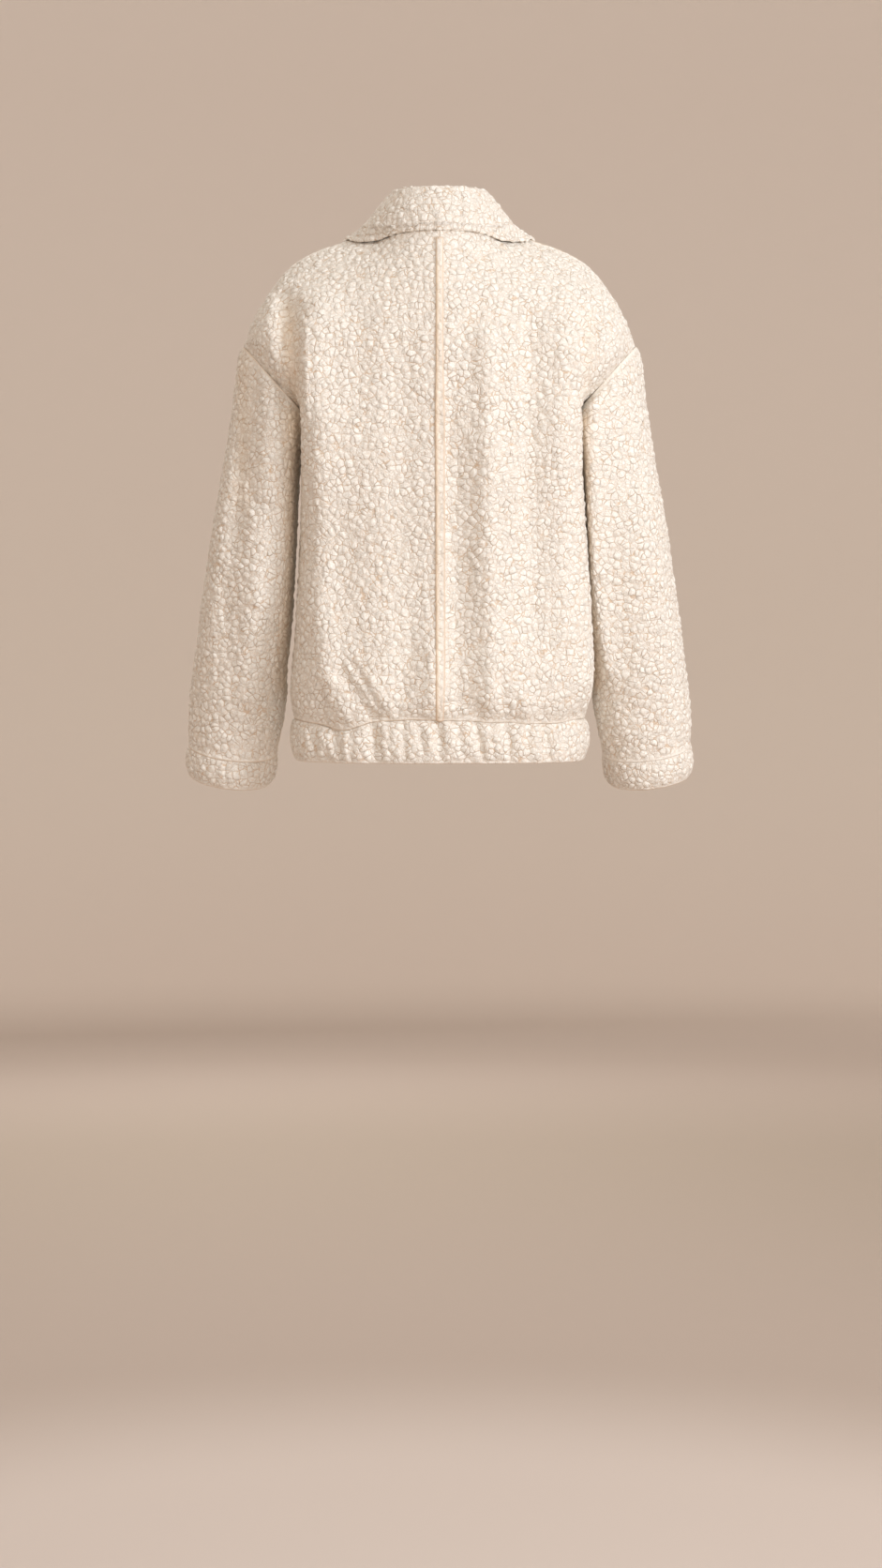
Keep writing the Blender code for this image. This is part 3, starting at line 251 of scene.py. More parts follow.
def curlNodes(tree, place):
    # the net of curls, used alike for the shape of the pile and for its colour
    moved = place
    for size, reach in (boucle["wander"], boucle["kink"]):
        bend = addNode(tree, "ShaderNodeTexNoise", inputs={"Scale": 1 / size, "Detail": 1.0},
                       links={"Vector": place})
        shift = addNode(tree, "ShaderNodeVectorMath", {"operation": "MULTIPLY_ADD"},
                        links={0: bend.outputs["Color"], 2: moved})
        shift.inputs[1].default_value = (reach, reach, reach)
        moved = shift.outputs[0]
    soft = {"interpolation_type": "SMOOTHSTEP"}
    edges = {"feature": "DISTANCE_TO_EDGE"}
    return wire(tree, {"moved": shift}, (
        ("net", "ShaderNodeTexVoronoi", edges, {"Scale": 1 / boucle["curl"]}, {"Vector": "moved"}),
        ("fine", "ShaderNodeTexVoronoi", edges, {"Scale": 1 / boucle["small"]}, {"Vector": "moved"}),
        ("cell", "ShaderNodeTexVoronoi", {"feature": "F1"}, {"Scale": 1 / boucle["curl"]}, {"Vector": "moved"}),
        ("chance", "ShaderNodeSeparateXYZ", {}, {}, {0: "cell 1"}),
        ("patch", "ShaderNodeTexNoise", {}, {"Scale": 1 / boucle["patch"], "Detail": 2.0}, {"Vector": "moved"}),
        ("rank", "ShaderNodeMapRange", soft, {"To Min": 0.5, "To Max": 1.0}, {"Value": "chance"}),
        ("flat", "ShaderNodeMapRange", soft,
         {"From Min": 0.30, "From Max": 0.64, "To Min": 1.0, "To Max": 0.0}, {"Value": "cell"}),
        ("plateau", "ShaderNodeMath", {"operation": "MULTIPLY"}, {}, {0: "flat", 1: "rank"}),
        ("low", "ShaderNodeMapRange", soft,
         {"From Min": 0.05, "From Max": 0.34, "To Min": 1.0, "To Max": 0.0}, {"Value": "cell"}),
        ("lowRank", "ShaderNodeMapRange", soft,
         {"From Min": 0.3, "From Max": 0.9, "To Min": 0.0, "To Max": 0.45}, {"Value": "chance 1"}),
        ("middle", "ShaderNodeMath", {"operation": "MULTIPLY"}, {}, {0: "low", 1: "lowRank"}),
        ("ring", "ShaderNodeMath", {"operation": "SUBTRACT"}, {}, {0: "plateau", 1: "middle"}),
        ("groove", "ShaderNodeMapRange", soft, {"From Max": 0.10, "To Min": -0.6, "To Max": 0.0}, {"Value": "net"}),
        ("curl", "ShaderNodeMath", {"operation": "ADD"}, {}, {0: "ring", 1: "groove"}),
        ("large", "ShaderNodeMapRange", soft,
         {"From Min": 0.36, "From Max": 0.60, "To Min": 0.6, "To Max": 1.0}, {"Value": "patch"}),
        ("largePart", "ShaderNodeMath", {"operation": "MULTIPLY"}, {}, {0: "curl", 1: "large"}),
        ("top", "ShaderNodeMapRange", soft, {"From Max": 0.16, "To Max": 0.35}, {"Value": "fine"}),
        ("little", "ShaderNodeMapRange", soft,
         {"From Min": 0.42, "From Max": 0.60, "To Min": 1.0, "To Max": 0.2}, {"Value": "patch"}),
        ("littlePart", "ShaderNodeMath", {"operation": "MULTIPLY"}, {}, {0: "top", 1: "little"}),
        ("height", "ShaderNodeMath", {"operation": "ADD"}, {}, {0: "largePart", 1: "littlePart"}),
        ("swell", "ShaderNodeMapRange", soft,
         {"From Min": 0.08, "From Max": 0.72, "To Min": 1.0, "To Max": 0.0}, {"Value": "cell"}),
        ("dome", "ShaderNodeMath", {"operation": "MULTIPLY"}, {}, {0: "swell", 1: "rank"}),
        ("wind", "ShaderNodeTexNoise", {}, {"Scale": 1 / boucle["loop"], "Detail": 1.0}, {"Vector": "moved"}),
        ("turns", "ShaderNodeMath", {"operation": "MULTIPLY"}, {1: boucle["loopTurns"]}, {0: "wind"}),
        ("turn", "ShaderNodeMath", {"operation": "PINGPONG"}, {1: 0.5}, {0: "turns"}),
        ("loop", "ShaderNodeMapRange", soft, {"From Max": 0.13, "To Min": 1.0, "To Max": 0.0}, {"Value": "turn"}),
        ("loopDip", "ShaderNodeMath", {"operation": "MULTIPLY"}, {1: boucle["loopDip"]}, {0: "loop"}),
        ("relief", "ShaderNodeMath", {"operation": "SUBTRACT"}, {}, {0: "height", 1: "loopDip"}),
    ))


def startMaterial(name):
    material = bpy.data.materials.new(name)
    material.use_nodes = True
    return material, material.node_tree, material.node_tree.nodes["Principled BSDF"]


def makeBoucle():
    material, tree, shader = startMaterial("boucleFleece")
    place = addNode(tree, "ShaderNodeAttribute", {"attribute_name": "restPlace"}).outputs["Vector"]
    made = curlNodes(tree, place)
    soft = {"interpolation_type": "SMOOTHSTEP"}
    wire(tree, made, (
        ("lay", "ShaderNodeAttribute", {"attribute_name": "pileLay"}, {}, {}),
        ("seam", "ShaderNodeAttribute", {"attribute_name": "paintedSeamShade"}, {}, {}),
        ("fold", "ShaderNodeAttribute", {"attribute_name": "paintedFoldGlow"}, {}, {}),
        # painted shade in the grooves between curls, in the loops and along seams
        ("line", "ShaderNodeMapRange", soft, {"From Max": 0.085, "To Min": boucle["lines"], "To Max": 0.0},
         {"Value": "net"}),
        ("lineFade", "ShaderNodeMapRange", soft,
         {"From Min": 0.36, "From Max": 0.58, "To Min": 0.25, "To Max": 1.0}, {"Value": "patch"}),
        ("linePart", "ShaderNodeMath", {"operation": "MULTIPLY"}, {}, {0: "line", 1: "lineFade"}),
        ("hair", "ShaderNodeMapRange", soft, {"From Max": 0.13, "To Min": boucle["lines"], "To Max": 0.0},
         {"Value": "fine"}),
        ("hairFade", "ShaderNodeMapRange", soft,
         {"From Min": 0.42, "From Max": 0.62, "To Min": 0.5, "To Max": 0.0}, {"Value": "patch"}),
        ("hairPart", "ShaderNodeMath", {"operation": "MULTIPLY"}, {}, {0: "hair", 1: "hairFade"}),
        ("netLines", "ShaderNodeMath", {"operation": "MAXIMUM"}, {}, {0: "linePart", 1: "hairPart"}),
        ("loopPart", "ShaderNodeMath", {"operation": "MULTIPLY"},
         {1: boucle["loopPaintedShade"] * boucle["lines"]}, {0: "loop"}),
        ("lines", "ShaderNodeMath", {"operation": "MAXIMUM"}, {}, {0: "netLines", 1: "loopPart"}),
        ("laid", "ShaderNodeMath", {"operation": "MULTIPLY"}, {}, {0: "lines", 1: "lay 2"}),
        ("paintedShadeShare", "ShaderNodeMath", {"operation": "MAXIMUM"}, {}, {0: "laid", 1: "seam 2"}),
        ("shape", "ShaderNodeMath", {"operation": "MULTIPLY"}, {}, {0: "relief", 1: "lay 2"}),
    ))
    # painted warm light in folds, mixed into the base colour
    base = addNode(tree, "ShaderNodeMix", {"data_type": "RGBA"}, links={"Factor": made["fold"].outputs["Fac"]})
    base.inputs[6].default_value = toLinear(boucle["top"])
    base.inputs[7].default_value = toLinear(boucle["paintedGlow"])
    # the painted shade mixed into the colour
    tint = addNode(tree, "ShaderNodeMix", {"data_type": "RGBA"},
                   links={"Factor": made["paintedShadeShare"].outputs[0], 6: base.outputs[2]})
    tint.inputs[7].default_value = toLinear(boucle["paintedShade"])
    tree.links.new(tint.outputs[2], shader.inputs["Base Color"])
    curlBump = addNode(tree, "ShaderNodeBump", inputs={"Strength": 1.0, "Distance": boucle["relief"]},
                       links={"Height": made["shape"].outputs[0]})
    fuzz = addNode(tree, "ShaderNodeTexNoise", inputs={"Scale": 1 / boucle["fuzz"], "Detail": 2.0,
                   "Roughness": 0.7}, links={"Vector": place}).outputs["Fac"]
    fuzzBump = addNode(tree, "ShaderNodeBump", inputs={"Strength": 1.0, "Distance": boucle["fuzzRelief"]},
                       links={"Height": fuzz, "Normal": curlBump.outputs[0]})
    tree.links.new(fuzzBump.outputs[0], shader.inputs["Normal"])
    shader.inputs["Roughness"].default_value = boucle["rough"]
    shader.inputs["Specular IOR Level"].default_value = boucle["specular"]
    shader.inputs["Sheen Weight"].default_value = boucle["sheen"]
    shader.inputs["Sheen Roughness"].default_value = boucle["sheenRough"]
    shader.inputs["Sheen Tint"].default_value = toLinear(boucle["sheenTint"])
    return material


def makeBacking():
    material, tree, shader = startMaterial("knitBacking")
    place = addNode(tree, "ShaderNodeTexCoord").outputs["Object"]
    # a wave of scale 1 repeats every 0.314 m, this one every two stitches
    rows = addNode(tree, "ShaderNodeTexWave", {"bands_direction": "Z"},
                   {"Scale": 0.314 / (2 * backing["stitch"]), "Distortion": 1.5, "Detail": 1.0,
                    "Detail Scale": 3.0}, {"Vector": place})
    stitches = addNode(tree, "ShaderNodeTexVoronoi", inputs={"Scale": 1 / backing["stitch"]},
                       links={"Vector": place})
    blend = addNode(tree, "ShaderNodeMath", {"operation": "MULTIPLY_ADD"}, {1: 0.5},
                    {0: stitches.outputs["Distance"], 2: rows.outputs["Fac"]})
    tint = addNode(tree, "ShaderNodeMix", {"data_type": "RGBA"}, links={"Factor": blend.outputs[0]})
    tint.inputs[6].default_value = toLinear(backing["line"])
    tint.inputs[7].default_value = toLinear(backing["face"])
    tree.links.new(tint.outputs[2], shader.inputs["Base Color"])
    bump = addNode(tree, "ShaderNodeBump", inputs={"Strength": 0.6, "Distance": backing["relief"]},
                   links={"Height": blend.outputs[0]})
    tree.links.new(bump.outputs[0], shader.inputs["Normal"])
    shader.inputs["Roughness"].default_value = backing["rough"]
    shader.inputs["Sheen Weight"].default_value = backing["sheen"]
    return material


def makeHorn():
    material, tree, shader = startMaterial("hornPolyester")
    place = addNode(tree, "ShaderNodeTexCoord").outputs["Object"]
    cloud = addNode(tree, "ShaderNodeTexNoise", inputs={"Scale": 1 / horn["cloud"], "Detail": 4.0,
                    "Distortion": 1.2}, links={"Vector": place})
    tint = addNode(tree, "ShaderNodeMix", {"data_type": "RGBA"}, links={"Factor": cloud.outputs[0]})
    tint.inputs[6].default_value = toLinear(horn["dark"])
    tint.inputs[7].default_value = toLinear(horn["light"])
    tree.links.new(tint.outputs[2], shader.inputs["Base Color"])
    shader.inputs["Roughness"].default_value = horn["rough"]
    return material


def makeThread():
    material, tree, shader = startMaterial("polyesterThread")
    place = addNode(tree, "ShaderNodeTexCoord").outputs["Object"]
    twist = addNode(tree, "ShaderNodeTexNoise", inputs={"Scale": 1 / thread["ply"], "Detail": 1.0},
                    links={"Vector": place})
    bump = addNode(tree, "ShaderNodeBump", inputs={"Strength": 0.5, "Distance": thread["relief"]},
                   links={"Height": twist.outputs[0]})
    tree.links.new(bump.outputs[0], shader.inputs["Normal"])
    shader.inputs["Base Color"].default_value = toLinear(thread["colour"])
    shader.inputs["Roughness"].default_value = thread["rough"]
    return material


materials = {
    "fleece": makeBoucle(),
    "backing": makeBacking(),
    "horn": makeHorn(),
    "thread": makeThread(),
}
print("materials made")

# Soft creases, in metres: from one point to another as seen from behind or from the front,
# their width in mm, and their height in mm, below 0 for a trough. Along Y, they move the whole wall.
backCreases = (
    (0.192, -0.080, 0.183, -0.122, 7, -6.0),      # beside the fold over the left sleeve
    (0.183, -0.122, 0.1785, -0.222, 7, -11.0),
    (0.167, -0.084, 0.163, -0.118, 6, 4.0),       # the fold's own crest
    (0.163, -0.118, 0.1615, -0.240, 6, 8.0),
    (0.1615, -0.240, 0.156, -0.420, 7, 5.0),
    (0.148, -0.100, 0.148, -0.230, 17, 5.5),      # the left corner stands up
    (0.148, -0.230, 0.149, -0.290, 17, 9.0),
    (0.149, -0.290, 0.146, -0.545, 16, 13.0),
    (0.050, -0.150, 0.040, -0.560, 15, -4.5),
    (-0.056, -0.140, -0.060, -0.570, 12, 8.5),
    (-0.014, -0.200, -0.018, -0.400, 9, -4.0),
    (-0.018, -0.400, -0.022, -0.575, 9, -7.0),
    (-0.112, -0.120, -0.112, -0.470, 11, -8.0),
    (-0.112, -0.470, -0.110, -0.560, 11, -5.0),
    (-0.150, -0.090, -0.152, -0.500, 10, 6.0),
    (-0.186, -0.098, -0.182, -0.222, 6, -2.0),
    (-0.178, -0.240, -0.180, -0.540, 6, -8.0),    # the right edge turns in softly
    (-0.001, -0.200, -0.069, -0.296, 5, -0.8),
    (-0.234, -0.142, -0.180, -0.216, 6, 4.0),     # the right armhole lies smooth
    (0.122, -0.540, 0.078, -0.597, 6, -4.5),      # gathers over the band
    (0.104, -0.535, 0.066, -0.593, 4.5, -3.2),
    (0.038, -0.510, 0.051, -0.588, 4.5, -3.0),
    (-0.022, -0.540, -0.045, -0.588, 4.5, -3.0),
    (-0.074, -0.550, -0.082, -0.592, 4.5, -3.0),
    (-0.118, -0.556, -0.126, -0.592, 4.5, -2.4),
    (0.150, -0.550, 0.142, -0.590, 4.5, -2.2),
    (0.010, -0.525, 0.010, -0.592, 6, 2.4),
    (0.086, -0.550, 0.062, -0.592, 5, 2.4),
    (-0.060, -0.550, -0.062, -0.592, 5, 2.0),
    (-0.100, -0.560, -0.104, -0.592, 5, 1.8),
    (0.130, -0.560, 0.116, -0.592, 5, 1.6),
)
frontCreases = (
    (0.060, -0.545, 0.052, -0.592, 5, -1.5),
    (0.105, -0.555, 0.098, -0.592, 5, -1.2),
    (-0.060, -0.550, -0.066, -0.592, 5, -1.5),
    (-0.112, -0.558, -0.104, -0.592, 5, -1.2),
    (0.150, -0.235, 0.085, -0.290, 7, -1.8),
    (0.152, -0.262, 0.100, -0.345, 6, -1.4),
    (-0.150, -0.235, -0.080, -0.300, 7, -1.8),
    (-0.150, -0.270, -0.105, -0.350, 6, -1.4),
    (0.115, -0.140, 0.108, -0.500, 13, -3.0),
    (-0.120, -0.150, -0.104, -0.480, 12, -3.2),
    (0.066, -0.330, 0.060, -0.560, 11, 2.2),
    (-0.062, -0.200, -0.066, -0.540, 10, 2.0),
    (0.170, -0.110, 0.172, -0.210, 6, -1.6),
    (-0.170, -0.110, -0.172, -0.210, 6, -1.6),
)
sleeveLeftCreases = (
    (0.203, -0.150, 0.204, -0.330, 11, 9.0),
    (0.204, -0.330, 0.2235, -0.455, 11, 6.0),
    (0.2300, -0.150, 0.2310, -0.330, 8, -4.0),
    (0.2235, -0.455, 0.2385, -0.570, 12, 3.5),
    (0.2460, -0.120, 0.2460, -0.294, 8, -8.0),
    (0.2440, -0.294, 0.2500, -0.400, 7.5, -3.0),
    (0.262, -0.420, 0.266, -0.470, 7, -2.5),
    (0.214, -0.480, 0.232, -0.530, 6, -1.6),
    (0.240, -0.600, 0.268, -0.612, 7, -2.0),
)
sleeveRightCreases = (
    (-0.243, -0.150, -0.243, -0.300, 7, -2.2),
    (-0.210, -0.150, -0.212, -0.300, 10, 2.0),
    (-0.212, -0.300, -0.226, -0.455, 10, 2.0),
    (-0.222, -0.455, -0.238, -0.560, 12, 2.5),
    (-0.262, -0.400, -0.268, -0.520, 8, -2.0),
    (-0.240, -0.590, -0.266, -0.606, 7, -1.8),
)
# where a sleeve's back swells beside the body
sleeveSwells = (
    (0.184, -0.235, 0.190, -0.420, 10, 19.0),
    (0.190, -0.420, 0.199, -0.540, 10, 15.0),
    (-0.184, -0.222, -0.187, -0.420, 14, 31.0),
    (-0.187, -0.420, -0.198, -0.540, 14, 24.0),
)
# where a sleeve lies closer to the body, by as much in mm
sleeveCloser = (
    (0.184, -0.250, 0.190, -0.420, 12, 4.0),
    (0.190, -0.420, 0.200, -0.540, 12, 5.0),
    (-0.186, -0.245, -0.190, -0.420, 12, 7.0),
    (-0.190, -0.420, -0.200, -0.540, 12, 8.0),
)
sleeveFrontCreases = (
    (0.246, -0.140, 0.250, -0.330, 8, -3.5),
    (0.212, -0.180, 0.222, -0.420, 9, 3.0),
    (0.236, -0.400, 0.262, -0.430, 8, -2.5),
    (0.230, -0.440, 0.258, -0.480, 7, -2.0),
    (-0.244, -0.150, -0.254, -0.350, 8, -3.0),
    (-0.214, -0.200, -0.226, -0.440, 9, 3.0),
    (-0.238, -0.410, -0.266, -0.445, 8, -2.4),
    (-0.232, -0.455, -0.256, -0.490, 7, -1.8),
)
# how far behind the shoulders a swell and a closer place begin, and where each is whole, in metres
sleeveDepth = {"swell": (0.0, 0.03), "closer": (0.02, 0.06)}
# where warmer light between folds is painted into the colour: a line, its width in mm and its strength
backPaintedGlow = (
    (0.186, -0.100, 0.178, -0.222, 8, 0.22),
    (-0.180, -0.110, -0.180, -0.222, 6, 0.12),
)
sleevePaintedGlow = (
    (0.178, -0.230, 0.180, -0.400, 9, 0.45),
    (0.180, -0.400, 0.192, -0.560, 9, 0.40),
    (0.244, -0.150, 0.243, -0.330, 8, 0.15),
    (-0.180, -0.235, -0.182, -0.420, 6, 0.55),
    (-0.182, -0.420, -0.194, -0.560, 6, 0.50),
)
stripPaintedGlow = (
    (0.0030, -0.045, 0.0030, -0.610, 2.6, 0.35),
)
# the hem band at the back: its height, where its crimps fade round the sides, and their depth at its edges
band = {"top": -0.600, "foot": -0.654, "turned": (0.0, 0.4), "edges": 0.55}
# crimps of the elastic: x at the top, x at the foot, width and depth in mm
bandCrimps = (
    (0.156, 0.152, 3.4, 2.2),
    (0.129, 0.121, 3.6, 4.0),
    (0.112, 0.107, 2.8, 1.8),
    (0.082, 0.076, 4.0, 5.0),
    (0.062, 0.060, 2.6, 1.5),
    (0.044, 0.042, 3.0, 2.6),
    (0.026, 0.017, 3.2, 2.8),
    (0.002, -0.001, 4.0, 5.0),
    (-0.020, -0.030, 3.2, 3.0),
    (-0.043, -0.055, 3.4, 4.0),
    (-0.060, -0.066, 2.6, 1.7),
    (-0.078, -0.088, 3.2, 2.8),
    (-0.107, -0.107, 3.2, 2.6),
    (-0.126, -0.135, 3.6, 4.6),
    (-0.152, -0.158, 3.0, 2.2),
)


def creaseField(points, weight, rows):
    ridge = np.zeros(len(points))
    trough = np.zeros(len(points))
    for x0, z0, x1, z1, width, height in rows:
        run = (x1 - x0, z1 - z0)
        along = ((points[:, 0] - x0) * run[0] + (points[:, 2] - z0) * run[1]) / (run[0] ** 2 + run[1] ** 2)
        along = along.clip(0.0, 1.0)
        away = (points[:, 0] - x0 - run[0] * along) ** 2 + (points[:, 2] - z0 - run[1] * along) ** 2
        lift = height * mm * np.exp(-away / (2 * (width * mm) ** 2))
        ridge = np.maximum(ridge, lift)
        trough = np.minimum(trough, lift)
    return (ridge + trough) * weight


turned = (-0.25, 0.35)     # normals along Y at which a face isn't yet turned to that side, and wholly is


def backward(normals):
    return ease(*turned, normals[:, 1])


def forward(normals):
    return -ease(*turned, -normals[:, 1])


def crimpField(points, normals):
    down = ((band["top"] - points[:, 2]) / (band["top"] - band["foot"])).clip(0.0, 1.0)
    total = np.zeros(len(points))
    for top, foot, width, depth in bandCrimps:
        away = points[:, 0] - (top + (foot - top) * down)
        total = np.minimum(total, -depth * mm * np.exp(-away ** 2 / (2 * (width * mm) ** 2)))
    swell = band["edges"] + (1 - band["edges"]) * np.sin(math.pi * down.clip(0.05, 0.95))
    return total * ease(*band["turned"], normals[:, 1]) * swell


def backShape(points, normals):
    return creaseField(points, backward(normals), backCreases)


def stripShape(points, normals):
    # the strip goes with the back beneath it, pressed a little into its pile
    return creaseField(points, 1.0, backCreases) - weave["stripSunk"]


def frontShape(points, normals):
    return creaseField(points, forward(normals), frontCreases)


def sleeveShape(points, normals, rows):
    return (creaseField(points, backward(normals), rows) + creaseField(points, forward(normals), sleeveFrontCreases)
            + creaseField(points, ease(*sleeveDepth["swell"], points[:, 1]), sleeveSwells))


def sleeveLeftShape(points, normals):
    return sleeveShape(points, normals, sleeveLeftCreases)


def sleeveRightShape(points, normals):
    return sleeveShape(points, normals, sleeveRightCreases)


weave = {
    "sameSpot": 0.00002,       # corners of the solid this near are one
    "levels": 2,
    "passes": 4,               # how often the cage is moved, each time by this part of what is left
    "part": 0.8,
    "longest": 2.3 * mm,       # edges of the pile side are halved down to this, at most so often
    "cuts": 3,
    "seamReach": 7 * mm,       # the pile thins out this near to a seam
    "seamPile": 0.30,
    "pile": 1.9 * mm,          # height of the curls in the mesh
    "seamPaintedShade": 0.6,           # painted shade in the seam's groove, its strength
    "seamStart": 0.3 * mm,
    "seamWidth": 2.6 * mm,
    "seamCrease": 0.25,        # how much of a crease is left at a seam
    "stripSunk": 1.1 * mm,     # how deep the centre strip lies in the pile
    "wall": 4 * mm,            # the cloth's thickness in the solids
}


def makeRelief():
    # a mesh that passes through this keeps its place and the height of the curls at each point
    tree = bpy.data.node_groups.new("curlRelief", "GeometryNodeTree")
    for way in ("INPUT", "OUTPUT"):
        tree.interface.new_socket("Geometry", in_out=way, socket_type="NodeSocketGeometry")
    start = addNode(tree, "NodeGroupInput")
    place = addNode(tree, "GeometryNodeInputPosition").outputs[0]
    curls = curlNodes(tree, place)
    held = addNode(tree, "GeometryNodeStoreNamedAttribute", {"data_type": "FLOAT", "domain": "POINT"},
                   {"Name": "curlHeight"}, {"Geometry": start.outputs[0], "Value": curls["dome"].outputs[0]})
    kept = addNode(tree, "GeometryNodeStoreNamedAttribute", {"data_type": "FLOAT_VECTOR", "domain": "POINT"},
                   {"Name": "restPlace"}, {"Geometry": held.outputs[0], "Value": place})
    addNode(tree, "NodeGroupOutput", links={0: kept.outputs[0]})
    return tree


relief = makeRelief()


def copyForm(nodeName, pieceName):
    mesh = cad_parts[nodeName].data.copy()
    mesh.materials.clear()
    piece = bpy.data.objects.new(pieceName, mesh)
    scene.collection.objects.link(piece)
    selectOnly(piece)
    if mesh.has_custom_normals:
        bpy.ops.mesh.customdata_custom_splitnormals_clear()
    for layer in [a.name for a in mesh.attributes if a.name in ("sharp_edge", "sharp_face")]:
        mesh.attributes.remove(mesh.attributes[layer])
    while mesh.uv_layers:
        mesh.uv_layers.remove(mesh.uv_layers[0])
    bpy.ops.object.mode_set(mode="EDIT")
    bpy.ops.mesh.select_all(action="SELECT")
    bpy.ops.mesh.remove_doubles(threshold=weave["sameSpot"])
    bpy.ops.mesh.tris_convert_to_quads(face_threshold=math.radians(60), shape_threshold=math.radians(70))
    bpy.ops.object.mode_set(mode="OBJECT")
    return piece


def markSides(piece, corner, wholePile):
    # sharp edges part the cloth into its two sides and its rims; the largest side carries the pile
    work = bmesh.new()
    work.from_mesh(piece.data)
    crease = work.edges.layers.float.get("crease_edge") or work.edges.layers.float.new("crease_edge")
    side = work.faces.layers.int.new("pileSide")
    sharp = set()
    for edge in work.edges:
        if len(edge.link_faces) == 2 and edge.calc_face_angle() > math.radians(corner):
            edge[crease] = 1.0
            sharp.add(edge)
    regions = []
    seen = set()
    for start in work.faces:
        if start in seen:
            continue
        seen.add(start)
        region = [start]
        for face in region:
            for edge in face.edges:
                if edge in sharp:
                    continue
                for other in edge.link_faces:
                    if other not in seen:
                        seen.add(other)
                        region.append(other)
        regions.append((sum(face.calc_area() for face in region), region))
    regions.sort(key=lambda pair: -pair[0])
    chosen = regions if wholePile else regions[:1]
    for _, region in chosen:
        for face in region:
            face[side] = 1
    work.to_mesh(piece.data)
    work.free()


def smoothForm(piece):
    # subdivision shrinks a curved form, so the cage is first moved until its points land on the solid's
    mesh = piece.data
    target = getPoints(mesh)
    cage = target.copy()
    modifier = piece.modifiers.new("smooth", "SUBSURF")
    modifier.levels = modifier.render_levels = weave["levels"]
    for _ in range(weave["passes"]):
        setPoints(mesh, cage)
        bpy.context.view_layer.update()
        reached = getPoints(piece.evaluated_get(bpy.context.evaluated_depsgraph_get()).data)[:len(cage)]
        cage = cage + weave["part"] * (target - reached)
    selectOnly(piece)
    bpy.ops.object.modifier_apply(modifier=modifier.name)


def refine(piece, longest):
    work = bmesh.new()
    work.from_mesh(piece.data)
    side = work.faces.layers.int["pileSide"]
    for _ in range(weave["cuts"]):
        tooLong = [e for e in work.edges if e.calc_length() > longest and any(f[side] for f in e.link_faces)]
        if not tooLong:
            break
        bmesh.ops.subdivide_edges(work, edges=tooLong, cuts=1, use_grid_fill=True)
    work.to_mesh(piece.data)
    work.free()


def pileNormals(mesh, count, onPile):
    # normals from the pile side's faces alone, so that rims don't tilt them
    corner = np.empty(len(mesh.loops), dtype=np.int32)
    mesh.loops.foreach_get("vertex_index", corner)
    faces = len(mesh.polygons)
    total = np.empty(faces, dtype=np.int32)
    mesh.polygons.foreach_get("loop_total", total)
    normal = np.empty(faces * 3, dtype=np.float32)
    mesh.polygons.foreach_get("normal", normal)
    area = np.empty(faces, dtype=np.float32)
    mesh.polygons.foreach_get("area", area)
    weighted = normal.reshape(-1, 3) * (area * onPile)[:, None]
    owner = np.repeat(np.arange(faces), total)
    sums = np.stack([np.bincount(corner, weights=weighted[owner, k], minlength=count) for k in range(3)], axis=1)
    touched = np.bincount(corner, weights=onPile[owner], minlength=count) > 0
    bare = np.bincount(corner, weights=1.0 - onPile[owner], minlength=count) > 0
    return sums / np.maximum(np.linalg.norm(sums, axis=1), 1e-12)[:, None], touched, touched & bare


def creasedPoints(mesh, count):
    ends = np.empty(len(mesh.edges) * 2, dtype=np.int32)
    mesh.edges.foreach_get("vertices", ends)
    crease = np.empty(len(mesh.edges), dtype=np.float32)
    mesh.attributes["crease_edge"].data.foreach_get("value", crease)
    return np.bincount(ends, weights=np.repeat(crease, 2), minlength=count) > 0.5


def layEdge(piece, settings, under):
    # the leaf's edge comes down towards the cloth beneath it, with "drop" as the share of the fall along Z,
    # and what is near the edge goes with it
    surfaces = []
    for other in under:
        data = other.data
        surfaces.append(BVHTree.FromPolygons([tuple(v.co) for v in data.vertices],
                                             [tuple(polygon.vertices) for polygon in data.polygons]))
    mesh = piece.data
    points = getPoints(mesh)
    edge = np.nonzero(creasedPoints(mesh, len(points)) & (points[:, 2] < settings["below"]))[0]
    rim = KDTree(len(edge))
    drops = []
    for n, k in enumerate(edge):
        rim.insert(points[k], n)
        hits = [surface.find_nearest(Vector(points[k])) for surface in surfaces]
        place, _, _, gap = min((hit for hit in hits if hit[0] is not None), key=lambda hit: hit[3])
        drops.append((gap, (place - Vector(points[k])) / max(gap, 1e-6)))
    rim.balance()
    for k, point in enumerate(points):
        _, n, away = rim.find(point)
        if away > settings["reach"] or point[1] < settings["from"]:
            continue
        near = [drops[m] for _, m, _ in rim.find_range(point, away + settings["join"])]
        gap = min(drop[0] for drop in near)
        way = sum((drop[1] for drop in near), Vector()) / len(near)
        part = 1 - ease(0.0, settings["reach"], away)
        move = max(0.0, min(gap - settings["gap"], settings["most"])) * part
        points[k] += np.array(way) * (1, 1, settings["drop"]) * move
    setPoints(mesh, points)


